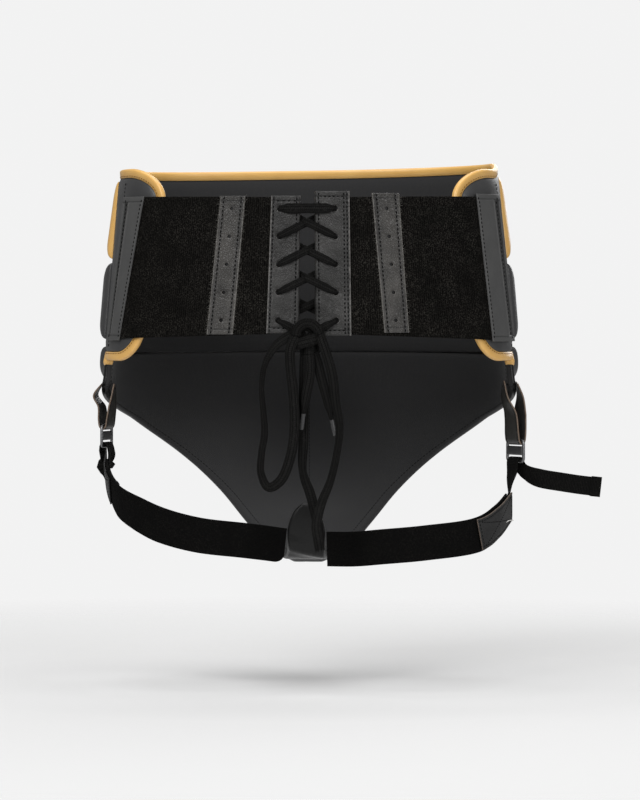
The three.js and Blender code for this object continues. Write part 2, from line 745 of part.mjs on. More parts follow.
function sliderHeights({ loopBottom }) {
  const topBarBottom = loopBottom + SLIDER.hold;
  const slotBottomTop = topBarBottom - SLIDER.slotTop - SLIDER.barMiddle;
  const bottomBarTop = slotBottomTop - SLIDER.slotBottom;
  return { topBarBottom, slotBottomTop, bottomBarTop, top: topBarBottom + SLIDER.barTop };
}

// A row of a strap at a distance outwards from the slider's turned middle plane
function turnedRow(leg, { shift, z, lean, turnShare = 1 }) {
  const turn = leg.turn * turnShare;
  const angle = THREE.MathUtils.degToRad(turn);
  return { out: leg.sliderOut + shift * Math.cos(angle), y: TAB.y + shift * Math.sin(angle), z, lean, turn };
}

function sideTab(leg) {
  const fall = leg.tabTop - leg.loopBottom;
  const rows = [
    { shift: TAB.topOuter - leg.sliderOut, z: leg.tabTop, turnShare: 0 },
    { shift: leg.tabBulge, z: leg.tabTop - 0.24 * fall, turnShare: 0.4 },
    { shift: 4.6, z: leg.tabTop - 0.5 * fall, turnShare: 0.85 },
    { shift: 3.9, z: leg.loopBottom + 9 },
    { shift: 2.7, z: leg.loopBottom + 2.4 },
    { shift: 0, z: leg.loopBottom },
    { shift: -2.7, z: leg.loopBottom + 2.4 },
    { shift: -3.9, z: leg.loopBottom + 9 },
    { shift: -5.4, z: leg.tabTop - 0.5 * fall, turnShare: 0.85 },
    { shift: TAB.topInner - leg.sliderOut + 0.6, z: leg.tabTop - 0.24 * fall, turnShare: 0.4 },
    { shift: TAB.topInner - leg.sliderOut, z: leg.tabTop, turnShare: 0 },
  ];
  const route = rows.map((row) => turnedRow(leg, { ...row, lean: -90 }));
  const half = TAB.thick / 2;
  return strap(route, leg.side, { width: TAB.width, inside: -half, outside: half, stepsEach: 2 });
}

function slider(leg) {
  const { topBarBottom, slotBottomTop, bottomBarTop, top } = sliderHeights(leg);
  const halfSlot = SLIDER.width / 2 - SLIDER.rim;
  const rectangle = (half, low, high) => [
    new THREE.Vector2(-half, low),
    new THREE.Vector2(half, low),
    new THREE.Vector2(half, high),
    new THREE.Vector2(-half, high),
  ];
  const plate = new THREE.Shape(rectangle(SLIDER.width / 2, bottomBarTop - SLIDER.barBottom, top));
  plate.holes.push(new THREE.Path(rectangle(halfSlot, topBarBottom - SLIDER.slotTop, topBarBottom)));
  plate.holes.push(new THREE.Path(rectangle(halfSlot, bottomBarTop, slotBottomTop)));
  const geometry = new THREE.ExtrudeGeometry(plate, { depth: SLIDER.thick, bevelEnabled: false });
  geometry.translate(0, 0, -SLIDER.thick / 2);
  const turned = new THREE.Matrix4().makeBasis(
    new THREE.Vector3(0, 1, 0), new THREE.Vector3(0, 0, 1), new THREE.Vector3(1, 0, 0));
  geometry.applyMatrix4(turned);
  geometry.rotateZ(leg.side * THREE.MathUtils.degToRad(leg.turn));
  return merged(geometry.translate(leg.side * leg.sliderOut, TAB.y, 0));
}

function webbing(leg) {
  const { bottomBarTop } = sliderHeights(leg);
  const turnRows = [
    { shift: -3.3, z: bottomBarTop - 2.4 },
    { shift: -2.3, z: bottomBarTop + 0.5 },
    { shift: 0, z: bottomBarTop + SLIDER.sink },
    { shift: 2.3, z: bottomBarTop + 0.5 },
    { shift: 3.4, z: bottomBarTop - 2.4 },
  ];
  const turn = turnRows.map((row) => turnedRow(leg, { ...row, lean: 90 }));
  const half = LEG.webThick / 2;
  const size = { width: LEG.webWidth, inside: -half, outside: half, stepsEach: 3 };
  return strap([...leg.webStart, ...turn, ...leg.tail], leg.side, size);
}

function legElastic(leg) {
  const half = LEG.elasticThick / 2;
  const size = { width: LEG.elasticWidth, inside: -half, outside: half, stepsEach: 4, to: leg.elasticEnd };
  return strap(leg.route, leg.side, size);
}

function strapPatch(leg) {
  const { from, to, seat } = leg.patch;
  const inside = LEG.elasticThick / 2 + seat;
  const size = { width: PATCH.width, inside, outside: inside + PATCH.thick, stepsEach: 4, from, to };
  return strap(leg.route, leg.side, size);
}

// The whole guard

addPiece("shield_band", "black_leather", shieldBand());
addPiece("edge_binding", "gold", edgeBinding());
for (const pad of PADS) {
  addPiece(pad.name, pad.finish, bandPad(pad));
}
addPiece("groin_panel", "black_leather", groinPanel());
addPiece("groin_pad", "black_leather", groinPad());

for (const elastic of ELASTICS) {
  const strip = EYELET_STRIPS.find(({ side }) => side === elastic.side);
  addPiece(elastic.name, "elastic", cut(beltPiece(elastic, ELASTIC, 16, 2), emptyEyelets(strip)));
}
for (const strip of EYELET_STRIPS) {
  addPiece(strip.name, "black_leather", cut(beltPiece(strip, STRIP, 2, 2), emptyEyelets(strip)));
}
for (const strip of END_STRIPS) {
  addPiece(strip.name, "black_leather", beltPiece(strip, STRIP, 5, 3));
}
for (const panel of LACING_PANELS) {
  addPiece(panel.name, "black_leather", lacingPanel(panel));
}

addPiece("lacing", "lace", lacing());
addPiece("lace_knot", "lace", laceKnot());
addPiece("bow_loop_left", "lace", hangingLace(BOW_LOOP_LEFT));
addPiece("bow_loop_right", "lace", hangingLace(BOW_LOOP_RIGHT));
addPiece("lace_end_middle", "lace", hangingLace(LACE_END_MIDDLE));
addPiece("lace_end_right", "lace", hangingLace(LACE_END_RIGHT));
addPiece("lace_tip_middle", "clear_tip", laceTip(LACE_END_MIDDLE));
addPiece("lace_tip_right", "clear_tip", laceTip(LACE_END_RIGHT));

for (const [word, leg] of Object.entries(LEG_SIDES)) {
  addPiece(`side_tab_${word}`, "black_leather", sideTab(leg));
  addPiece(`slider_${word}`, "metal", slider(leg));
  addPiece(`webbing_${word}`, "webbing", webbing(leg));
  addPiece(`strap_patch_${word}`, "black_leather", strapPatch(leg));
  addPiece(`leg_elastic_${word}`, "elastic", legElastic(leg));
}

export default guard;
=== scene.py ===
"""Dresses a boxing groin guard in leather, elastic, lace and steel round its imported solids."""

import bisect
import logging
import math
from dataclasses import asdict, dataclass, field, fields
from enum import Enum
from itertools import accumulate
from typing import Callable, Optional, Sequence, Union

import bpy
from bpy.types import ID, Material, Mesh, Node, NodeSocket, NodeTree, Object
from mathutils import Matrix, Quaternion, Vector


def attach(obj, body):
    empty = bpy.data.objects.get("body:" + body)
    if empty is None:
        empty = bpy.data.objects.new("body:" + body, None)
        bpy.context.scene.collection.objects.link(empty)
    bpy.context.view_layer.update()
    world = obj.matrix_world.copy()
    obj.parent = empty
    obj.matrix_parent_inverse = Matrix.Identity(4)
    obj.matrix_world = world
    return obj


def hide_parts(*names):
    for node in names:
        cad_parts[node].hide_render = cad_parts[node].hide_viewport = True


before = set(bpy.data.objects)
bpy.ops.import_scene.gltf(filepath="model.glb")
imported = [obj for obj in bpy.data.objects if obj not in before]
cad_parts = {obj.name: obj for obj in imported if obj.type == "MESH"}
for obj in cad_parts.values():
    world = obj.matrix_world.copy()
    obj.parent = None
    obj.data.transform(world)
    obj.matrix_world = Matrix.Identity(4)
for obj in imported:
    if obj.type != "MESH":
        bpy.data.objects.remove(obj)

LOG = logging.getLogger("groin_guard")
BODY = "root"
TURN = 2 * math.pi
BLACK = (0.004, 0.004, 0.004)
BACKWARDS = Vector((0, -1, 0))

Surface = Callable[[float, float, float], Vector]
Relief = Callable[[float, float], float]
Colour = tuple[float, float, float]
Seam = list[tuple[Vector, Vector]]
Pair = tuple[float, float]
Table = Sequence[Pair]
Row = tuple[float, ...]


class Side(Enum):
    """The guard's two sides seen from behind, as the sign of X."""

    LEFT = -1
    RIGHT = 1

    @property
    def word(self) -> str:
        """The side's name in the solids' names."""
        return self.name.lower()


class Slot(Enum):
    """The record's material slots."""

    BLACK = "black_leather"
    GOLD = "gold_leather"
    LACE = "lace"
    ELASTIC = "elastic"
    WEBBING = "webbing"
    METAL = "metal"
    TIP = "clear_tip"


class Face(Enum):
    """The two faces of a flat piece, as the sign of the way outwards."""

    OUTER = 1
    INNER = -1

    @property
    def other(self) -> "Face":
        """The opposite face."""
        return Face(-self.value)


class Pattern(Enum):
    """The coordinates that a finish's pattern follows."""

    SOLID = "Object"
    SHEET = "UV"


class Weave(Enum):
    """The shared group that draws a cloth, with the names of its two sizes."""

    RIBS = ("ribs", "Rib", "Pick")
    BRAID = ("braid", "Plait", "Wales")


# Numbers


def lerp(low: float, high: float, share: float) -> float:
    """Return the value at a share of the way from low to high."""
    return low + (high - low) * share


def clamp(value: float, low: float = 0.0, high: float = 1.0) -> float:
    """Return the value, kept between low and high."""
    return max(low, min(high, value))


def smooth_step(value: float, low: float, high: float) -> float:
    """Return a share that rises smoothly from 0 at low to 1 at high."""
    share = clamp((value - low) / (high - low))
    return share * share * (3 - 2 * share)


def bell(share: float) -> float:
    """Return a smooth bump that is 1 at 0 and 0 beyond 1 either way."""
    return math.cos(share * math.pi / 2) ** 2 if abs(share) < 1 else 0.0


def signed_power(value: float, power: float) -> float:
    """Return a power of a number's size with the number's sign."""
    return math.copysign(abs(value) ** power, value)


def from_table(table: Table, key: float) -> float:
    """Read a table of rows in a straight line between its keys.

    Args:
        table: Rows of a key and a value, in order of their keys.
        key: The key to look up.

    Returns:
        The value, held at the ends of the table.
    """
    keys = [row[0] for row in table]
    after = int(clamp(bisect.bisect_left(keys, key), 1, len(table) - 1))
    (low, first), (high, last) = table[after - 1], table[after]
    return lerp(first, last, clamp((key - low) / (high - low)))


def running(points: Sequence[Vector]) -> list[float]:
    """Return the length of the way up to each of a row of points."""
    return list(accumulate(((b - a).length for a, b in zip(points, points[1:])), initial=0.0))


class Route:
    """A smooth curve through a list of places, numbered from 0 along them."""

    nudge = 0.01
    fine = 24

    def __init__(self, places: Sequence[Sequence[float]]) -> None:
        """Keep the places with one more beyond each end.

        Args:
            places: The places in order, in metres.
        """
        points = [Vector(place) for place in places]
        self.last = len(points) - 1
        self.points = [2 * points[0] - points[1], *points, 2 * points[-1] - points[-2]]

    def at(self, index: float) -> Vector:
        """Find a point of the curve.

        Args:
            index: A place's number, with any share towards the next.

        Returns:
            The point.
        """
        span = int(clamp(math.floor(index), 0, self.last - 1))
        share = index - span
        before, start, end, after = self.points[span : span + 4]
        steps = [math.sqrt((b - a).length) for a, b in ((before, start), (start, end), (end, after))]
        first, middle, third = steps
        leave = (start - before) / first - (end - before) / (first + middle) + (end - start) / middle
        arrive = (end - start) / middle - (after - start) / (middle + third) + (after - end) / third
        leave, arrive = leave * middle, arrive * middle
        square, cube = share**2, share**3
        return (
            start * (2 * cube - 3 * square + 1)
            + leave * (cube - 2 * square + share)
            + end * (3 * square - 2 * cube)
            + arrive * (cube - square)
        )

    def tangent(self, index: float) -> Vector:
        """Return the unit vector along the curve at a place's number."""
        low, high = (clamp(index + nudge, 0, self.last) for nudge in (-self.nudge, self.nudge))
        return (self.at(high) - self.at(low)).normalized()

    def measured(self, numbers: Sequence[float]) -> list[Pair]:
        """Return the length of the way up to each number along the route, with the number."""
        return list(zip(running([self.at(number) for number in numbers]), numbers))

    def even(self, step: float) -> tuple[list[Vector], list[float]]:
        """Walk the curve in even steps.

        Args:
            step: The distance between points, in metres.

        Returns:
            The points, and the number along the route of each.
        """
        rows = self.measured([i / self.fine for i in range(self.last * self.fine + 1)])
        total = rows[-1][0]
        count = max(2, round(total / step))
        numbers = [from_table(rows, total * i / count) for i in range(count + 1)]
        return [self.at(number) for number in numbers], numbers


# The waist


@dataclass
class Waist:
    """The oval that the belt and the shield lie on. Offsets are outwards from the elastic's inner face."""

    half_width: float = 0.1775
    back_depth: float = 0.108
    front_depth: float = 0.112
    width_flare: float = 0.083
    depth_flare: float = 0.03
    square: float = 2.25
    girth: list[Pair] = field(init=False, default_factory=list)

    def __post_init__(self) -> None:
        """Measure the way round the waist at the belt's mid height."""
        angles = [math.radians(degree) for degree in range(181)]
        self.girth.extend(zip(running([self.point(angle, 0, 0) for angle in angles]), angles))

    @property
    def half_girth(self) -> float:
        """The way from the centre back to the centre front."""
        return self.girth[-1][0]

    def point(self, angle: float, z: float, offset: float) -> Vector:
        """Find a place on or off the waist.

        Args:
            angle: The angle from the centre back, plus towards +X.
            z: The height.
            offset: The distance outwards.

        Returns:
            The place.
        """
        sine, cosine = math.sin(angle), math.cos(angle)
        half_width = self.half_width - self.width_flare * z
        depth = (self.back_depth if cosine > 0 else self.front_depth) - self.depth_flare * z
        power = 2 / self.square
        slope = 2 - power
        normal = Vector((signed_power(sine, slope) / half_width, -signed_power(cosine, slope) / depth, 0))
        on_form = Vector((half_width * signed_power(sine, power), -depth * signed_power(cosine, power), z))
        return on_form + offset * normal.normalized()

    def angle_at(self, arc: float) -> float:
        """Find the angle at a distance round the waist.

        Args:
            arc: The distance from the centre back, plus towards +X.

        Returns:
            The angle, which is 0 at the centre back.
        """
        if arc < 0:
            return -self.angle_at(-arc)
        if arc > self.half_girth:
            return TURN - self.angle_at(2 * self.half_girth - arc)
        return from_table(self.girth, arc)

    def at(self, arc: float, z: float, offset: float) -> Vector:
        """Return the place at a distance round the waist, a height and a distance outwards."""
        return self.point(self.angle_at(arc), z, offset)

    def outwards(self, arc: float, z: float) -> Vector:
        """Return the unit vector that points away from the waist."""
        return (self.at(arc, z, 0.001) - self.at(arc, z, 0)).normalized()


# Meshes


def new_object(name: str, points: Sequence[Sequence[float]], faces: Sequence[tuple],
               edges: Sequence[tuple] = ()) -> Object:
    """Put a new mesh in the scene with smooth faces.

    Args:
        name: The object's name.
        points: Its vertices.
        faces: Its faces.
        edges: Its loose edges.

    Returns:
        The object, at the origin.
    """
    mesh = bpy.data.meshes.new(name)
    mesh.from_pydata([tuple(point) for point in points], edges, faces)
    smooth(mesh)
    made = bpy.data.objects.new(name, mesh)
    bpy.context.scene.collection.objects.link(made)
    return made


def smooth(mesh: Mesh) -> None:
    """Shade every face of a mesh smooth."""
    mesh.polygons.foreach_set("use_smooth", [True] * len(mesh.polygons))


def give_uv(mesh: Mesh, places: Table) -> None:
    """Store each vertex's place on its sheet, in metres, as a UV map."""
    numbers = [number for loop in mesh.loops for number in places[loop.vertex_index]]
    mesh.uv_layers.new(name="sheet").data.foreach_set("uv", numbers)


def give_value(mesh: Mesh, name: str, values: Sequence[float]) -> None:
    """Store one number for each vertex under a name."""
    mesh.attributes.new(name, "FLOAT", "POINT").data.foreach_set("value", values)


def bake(piece: Object) -> None:
    """Turn what a piece's modifiers make into its own plain mesh.

    Args:
        piece: The object with the modifiers.
    """
    graph = bpy.context.evaluated_depsgraph_get()
    mesh = bpy.data.meshes.new_from_object(piece.evaluated_get(graph), depsgraph=graph)
    piece.modifiers.clear()
    old = piece.data
    piece.data = mesh
    bpy.data.meshes.remove(old)


def join(name: str, parts: Sequence[Object]) -> Object:
    """Make several objects into one.

    Args:
        name: The joined object's name.
        parts: The objects, which have the same layers.

    Returns:
        The first object, which now holds all the meshes.
    """
    with bpy.context.temp_override(active_object=parts[0], selected_editable_objects=list(parts)):
        bpy.ops.object.join()
    parts[0].name = name
    return parts[0]


@dataclass(frozen=True)
class Hole:
    """A round hole through a slab, at a place on it in metres."""

    along: float
    up: float
    radius: float


@dataclass(frozen=True)
class Crease:
    """A straight groove across a slab's outer face. One of no depth only asks for close grid lines."""

    depth: float
    half_width: float
    along: Optional[float] = None
    up: Optional[float] = None

    def sink(self, along: float, up: float) -> float:
        """Return how far the face lies below its level at a place."""
        away = along - self.along if self.along is not None else up - self.up
        return self.depth * math.exp(-((away / self.half_width) ** 2))


def flat(_along: float, _up: float) -> float:
    """Return no relief at all."""
    return 0.0


@dataclass
class Slab:
    """A closed sheet of even thickness over a surface, with rounded rims.

    The surface takes two shares, along and up, and a distance outwards. Along, up and out are right handed.
    """

    name: str
    surface: Surface
    length: float
    height: float
    inside: float
    outside: float
    step: float = 0.004
    rise: float = 0.004
    rim: float = 0.0008
    square: float = 2.6
    relief: Relief = flat
    # Shade painted into hollows on the outer face, from 0 to 1.
    hollow: Relief = flat
    # A pale highlight painted along a ridge of the outer face, from 0 to 1; it joins the raw edge's value.
    worn: Relief = flat
    creases: Sequence[Crease] = ()
    holes: Sequence[Hole] = ()
    # The crease depth at which the shade painted into a crease is full.
    dark_depth: float = 0.00045
    edge_reach: float = 0.0012
    raw_ends: bool = True
    rim_level: float = 0.5
    spread: Optional[Callable[[float], float]] = None
    lines: Optional[Sequence[float]] = None

    def stations(self, size: float, step: float, marks: Table) -> list[float]:
        """Choose the grid lines across one direction.

        Args:
            size: The sheet's size in that direction.
            step: The usual distance between lines.
            marks: Places that need close lines, each with its half width.

        Returns:
            The lines' places, from 0 to the size.
        """
        near = [0.0, 0.1 * self.rim, 0.4 * self.rim, self.rim]
        count = max(2, round((size - 2 * self.rim) / step))
        lines = [lerp(self.rim, size - self.rim, i / count) for i in range(1, count)]
        for place, half_width in marks:
            lines.extend(place + half_width * share for share in (-1.8, -1, -0.5, 0, 0.5, 1, 1.8))
        inner = sorted(line for line in lines if 1.3 * self.rim < line < size - 1.3 * self.rim)
        closest = 0.08 * self.rim + 0.00012
        kept = list(near)
        for line in inner:
            if line - kept[-1] > closest:
                kept.append(line)
        return kept + [size - line for line in reversed(near)]

    def inset(self, along: float, up: float) -> float:
        """Return the distance in from the nearest rim, by a row's true width."""
        wide = self.spread(up) if self.spread else 1.0
        return min(along * wide, (self.length - along) * wide, up, self.height - up)

    def fullness(self, along: float, up: float) -> float:
        """Return the share of the full thickness at a place, 0 on the rim."""
        away = 1 - clamp(self.inset(along, up) / self.rim)
        return (1 - away**self.square) ** (1 / self.square)

    def level(self, face: Face, along: float, up: float) -> float:
        """Find how far outwards a face lies.

        Args:
            face: The face.
            along: Metres along the sheet.
            up: Metres up the sheet.

        Returns:
            The distance.
        """
        depth = self.inside
        if face is Face.OUTER:
            sunk = sum(crease.sink(along, up) for crease in self.creases)
            depth = self.outside + self.relief(along, up) - sunk
        edge = lerp(self.inside, self.outside, self.rim_level)
        return lerp(edge, depth, self.fullness(along, up))

    def shade(self, along: float, up: float) -> float:
        """Return the shade painted at a place by its grooves and hollows, from 0 to 1."""
        sunk = sum(max(crease.sink(along, up), 0.0) for crease in self.creases)
        return clamp(sunk / self.dark_depth + self.hollow(along, up))

    def place(self, along: float, up: float, offset: float) -> Vector:
        """Return the point at metres along and up the sheet and a distance outwards."""
        return self.surface(along / self.length, up / self.height, offset)

    def seam(self, *corners: Pair, face: Face = Face.OUTER) -> Seam:
        """Draw a seam of straight stretches on a face.

        Args:
            corners: Metres along and up at its start, its bends and its end.
            face: The face that it lies on.

        Returns:
            The seam's points, each with the direction that its stitches face.
        """
        step, lift = 0.002, 0.001 * face.value
        seam: Seam = []
        for start, end in zip(corners, corners[1:]):
            steps = max(2, round(math.dist(start, end) / step))
            for i in range(steps + 1):
                along, up = lerp(start[0], end[0], i / steps), lerp(start[1], end[1], i / steps)
                depth = self.level(face, along, up)
                point = self.place(along, up, depth)
                seam.append((point, (self.place(along, up, depth + lift) - point).normalized()))
        return seam

    def build(self) -> Object:
        """Make the sheet's mesh.

        Returns:
            The object. Faces of the inner side have the second material.
        """
        across = [(crease.along, crease.half_width) for crease in self.creases if crease.along is not None]
        over = [(crease.up, crease.half_width) for crease in self.creases if crease.up is not None]
        lines = list(self.lines or self.stations(self.length, self.step, across))
        levels = self.stations(self.height, self.rise, over)
        weaver = SlabWeaver(self, lines, levels)
        weaver.weave()
        return weaver.finish()


class SlabWeaver:
    """Lays out the faces of a slab on its grid and round its holes."""

    def __init__(self, slab: Slab, lines: list[float], levels: list[float]) -> None:
        """Start with no faces.

        Args:
            slab: The sheet.
            lines: The grid's places along it.
            levels: The grid's places up it.
        """
        self.slab = slab
        self.lines = lines
        self.levels = levels
        self.index: dict[tuple, int] = {}
        self.points: list[Vector] = []
        self.places: list[Pair] = []
        self.edges: list[float] = []
        self.shades: list[float] = []
        self.held: list[float] = []
        self.faces: list[tuple[int, ...]] = []
        self.linings: list[int] = []

    def vertex(self, key: tuple, along: float, up: float, offset: float, edge: float) -> int:
        """Find or make a vertex.

        Args:
            key: What tells this vertex from the others.
            along: Metres along the sheet.
            up: Metres up the sheet.
            offset: The distance outwards.
            edge: How much of a raw edge, or of a painted highlight along a ridge, it is, from 0 to 1.

        Returns:
            The vertex's number.
        """
        if key not in self.index:
            self.index[key] = len(self.points)
            self.points.append(self.slab.place(along, up, offset))
            self.places.append((along, up))
            self.edges.append(edge)
            # Shade painted into creases and hollows, on the outer face only.
            self.shades.append(self.slab.shade(along, up) if key[0] is Face.OUTER else 0.0)
            self.held.append(0.0 if key[0] is Face.OUTER else 1.0)
        return self.index[key]

    def grid(self, face: Face, i: int, j: int) -> int:
        """Find or make a vertex of the grid. Both faces share the rim.

        Args:
            face: The face that it is on.
            i: The number of the line.
            j: The number of the level.

        Returns:
            The vertex's number.
        """
        slab = self.slab
        along, up = self.lines[i], self.levels[j]
        on_rim = i in (0, len(self.lines) - 1) or j in (0, len(self.levels) - 1)
        inset = slab.inset(along, up) if slab.raw_ends else min(along, slab.length - along)
        edge = 1 - clamp(inset / slab.edge_reach)
        # A pale highlight painted along a ridge joins the raw edge's value.
        if face is Face.OUTER:
            edge = max(edge, slab.worn(along, up))
        offset = slab.level(face, along, up)
        return self.vertex(("rim" if on_rim else face, i, j), along, up, offset, edge)

    def weave(self) -> None:
        """Lay every face of the grid and of the holes."""
        blocks = [self.block(hole) for hole in self.slab.holes]
        for i in range(len(self.lines) - 1):
            for j in range(len(self.levels) - 1):
                if any(a <= i < b and c <= j < d for a, b, c, d in blocks):
                    continue
                corners = [(i, j), (i + 1, j), (i + 1, j + 1), (i, j + 1)]
                self.add_face([self.grid(Face.OUTER, *corner) for corner in corners], 0)
                self.add_face([self.grid(Face.INNER, *corner) for corner in reversed(corners)], 1)
        for number, (hole, block) in enumerate(zip(self.slab.holes, blocks)):
            self.line_hole(number, hole, block)

    def add_face(self, corners: Sequence[int], lining: int) -> None:
        """Keep a face with the number of its material."""
        self.faces.append(tuple(corners))
        self.linings.append(lining)

    def block(self, hole: Hole) -> tuple[int, int, int, int]:
        """Choose the grid cells that a hole takes up.

        Args:
            hole: The hole.

        Returns:
            The first and last line and the first and last level round it.
        """
        reach = 1.7 * hole.radius
        return (
            bisect.bisect_left(self.lines, hole.along - reach) - 1,
            bisect.bisect_right(self.lines, hole.along + reach),
            bisect.bisect_left(self.levels, hole.up - reach) - 1,
            bisect.bisect_right(self.levels, hole.up + reach),
        )

    def line_hole(self, number: int, hole: Hole, block: tuple[int, int, int, int]) -> None:
        """Lay the faces from the grid to a hole, through it and back to the grid.

        Args:
            number: The hole's number.
            hole: The hole.
            block: The lines and levels round it.
        """
        a, b, c, d = block
        border = [(i, c) for i in range(a, b)] + [(b, j) for j in range(c, d)]
        border += [(i, d) for i in range(b, a, -1)] + [(a, j) for j in range(d, c, -1)]
        turns = [math.atan2(self.levels[j] - hole.up, self.lines[i] - hole.along) for i, j in border]
        thick = self.slab.outside - self.slab.inside
        lip = 0.22 * thick
        rings = [(Face.OUTER, 1.25, 0.0, 0.0), (Face.OUTER, 1.0, -lip, 1.0), (Face.INNER, 1.0, lip, 1.0),
                 (Face.INNER, 1.25, 0.0, 0.0)]
        loops = [[self.grid(Face.OUTER, *corner) for corner in border]]
        for ring, (face, spread, shift, edge) in enumerate(rings):
            loop = []
            for k, turn in enumerate(turns):
                along = hole.along + spread * hole.radius * math.cos(turn)
                up = hole.up + spread * hole.radius * math.sin(turn)
                key = ("hole", number, ring, k)
                loop.append(self.vertex(key, along, up, self.slab.level(face, along, up) + shift, edge))
            loops.append(loop)
        loops.append([self.grid(Face.INNER, *corner) for corner in border])
        for loop_number, (first, second) in enumerate(zip(loops, loops[1:])):
            lining = 1 if loop_number == len(loops) - 2 else 0
            for k in range(len(border)):
                after = (k + 1) % len(border)
                self.add_face((first[k], first[after], second[after], second[k]), lining)

    def finish(self) -> Object:
        """Make the object of the faces laid so far.

        Returns:
            The object, with its UV map and its values.
        """
        piece = new_object(self.slab.name, self.points, self.faces)
        piece.data.polygons.foreach_set("material_index", self.linings)
        give_uv(piece.data, self.places)
        # The values: raw edge with the painted ridge highlight, painted shade, and what a filling holds.
        for name, values in (("edge", self.edges), ("shade", self.shades), ("held", self.held)):
            give_value(piece.data, name, values)
        return piece


@dataclass(frozen=True)
class Filling:
    """How the cover of a pad swells over what it is filled with."""

    pressure: float = 4.0
    frames: int = 20
    most: float = 0.003
    stiffness: float = 12.0

    def swell(self, piece: Object) -> None:
        """Blow a pad up by a cloth simulation that holds its back and its rim, then smooth it.

        Args:
            piece: The pad's object, which has the attribute that marks what is held.
        """
        self.simulate(piece)
        smooth = piece.modifiers.new("smooth", "SUBSURF")
        smooth.levels = smooth.render_levels = 1
        bake(piece)

    def simulate(self, piece: Object) -> None:
        """Run the simulation and keep its last frame, with each move capped.

        Args:
            piece: The pad's object.
        """
        scene = bpy.context.scene
        group = piece.vertex_groups.new(name="held")
        marks = piece.data.attributes["held"].data
        group.add([i for i, mark in enumerate(marks) if mark.value > 0.5], 1.0, "REPLACE")
        before = [vertex.co.copy() for vertex in piece.data.vertices]
        cloth = piece.modifiers.new("filling", "CLOTH")
        cloth.settings.vertex_group_mass = group.name
        cloth.settings.use_pressure = True
        cloth.settings.uniform_pressure_force = self.pressure
        cloth.settings.tension_stiffness = self.stiffness
        cloth.settings.effector_weights.gravity = 0
        cloth.collision_settings.use_collision = False
        cloth.point_cache.frame_end = self.frames
        for number in range(1, self.frames + 1):
            scene.frame_set(number)
        bake(piece)
        scene.frame_set(1)
        piece.vertex_groups.clear()
        for vertex, start in zip(piece.data.vertices, before):
            move = vertex.co - start
            if move.length > self.most:
                vertex.co = start + move * (self.most / move.length)


def carried_frames(path: Sequence[Vector], first: Vector, turns: Sequence[float]) -> list[Vector]:
    """Carry a face direction along a path without twist, then turn it.

    Args:
        path: The path's points.
        first: About where the face looks at the start.
        turns: The added turn at each point, in radians.

    Returns:
        The unit direction that the face looks in at each point.
    """
    tangents = [(b - a).normalized() for a, b in zip(path, path[1:])]
    tangents.append(tangents[-1])
    facing = (first - first.dot(tangents[0]) * tangents[0]).normalized()
    frames = []
    for i, tangent in enumerate(tangents):
        if i:
            facing = tangents[i - 1].rotation_difference(tangent) @ facing
            facing = (facing - facing.dot(tangent) * tangent).normalized()
        frames.append(Quaternion(tangent, turns[i]) @ facing)
    return frames


@dataclass
class Sweep:
    """A closed section carried along a path, with its own size at each point."""

    name: str
    path: Sequence[Vector]
    facing: Sequence[Vector]
    section: Table
    sizes: Table
    looped: bool = False

    def directions(self) -> list[Vector]:
        """Find the way along the path.

        Returns:
            The unit direction at each point.
        """
        count = len(self.path)
        made = []
        for i in range(count):
            after = (i + 1) % count if self.looped else min(i + 1, count - 1)
            before = i - 1 if self.looped or i else 0
            made.append((self.path[after] - self.path[before]).normalized())
        return made

    def build(self) -> Object:
        """Make the swept mesh, with a UV map of metres along and round it.

        Returns:
            The object.
        """
        points: list[Vector] = []
        places: list[Pair] = []
        run = 0.0
        sides = len(self.section)
        for i, (middle, tangent) in enumerate(zip(self.path, self.directions())):
            run += (middle - self.path[i - 1]).length if i else 0.0
            out = (self.facing[i] - self.facing[i].dot(tangent) * tangent).normalized()
            wide = out.cross(tangent)
            width, thick = self.sizes[i]
            for k, (across, depth) in enumerate(self.section):
                points.append(middle + wide * (across * width) + out * (depth * thick))
                places.append((run, k / sides))
        faces = self.faces(points, places, run)
        piece = new_object(self.name, points, faces)
        give_uv(piece.data, places)
        give_value(piece.data, "edge", [0.0] * len(points))
        return piece

    def faces(self, points: list[Vector], places: list[Pair], run: float) -> list[tuple]:
        """Lay the sides and the two caps.

        Args:
            points: The vertices, to which the caps add theirs.
            places: Their places on the sheet.
            run: The path's length.

        Returns:
            The faces.
        """
        sides, count = len(self.section), len(self.path)
        faces: list[tuple] = []
        for i in range(count if self.looped else count - 1):
            after = (i + 1) % count
            for k in range(sides):
                following = (k + 1) % sides
                low, high = i * sides, after * sides
                faces.append((low + k, low + following, high + following, high + k))
        if not self.looped:
            for ring, turned in ((0, True), (count - 1, False)):
                points.append(Vector(self.path[ring]))
                places.append((run if ring else 0.0, 0.5))
                middle = len(points) - 1
                for k in range(sides):
                    pair = (ring * sides + k, ring * sides + (k + 1) % sides)
                    faces.append((middle, *(reversed(pair) if turned else pair)))
        return faces


def oval(sides: int, power: float = 2.0, lobes: int = 0, lobe: float = 0.0) -> list[Pair]:
    """Draw an oval section of unit width and thickness.

    Args:
        sides: How many points it has.
        power: 2 for an ellipse, more for a squarer form.
        lobes: How many small ridges run round it.
        lobe: The ridges' share of the thickness.

    Returns:
        The points, as shares of the width and of the thickness.
    """
    points = []
    for k in range(sides):
        turn = TURN * k / sides
        swell = 1 + lobe * math.cos(lobes * turn)
        across = 0.5 * signed_power(math.cos(turn), 2 / power)
        points.append((across, 0.5 * swell * signed_power(math.sin(turn), 2 / power)))
    return points


# Node trees


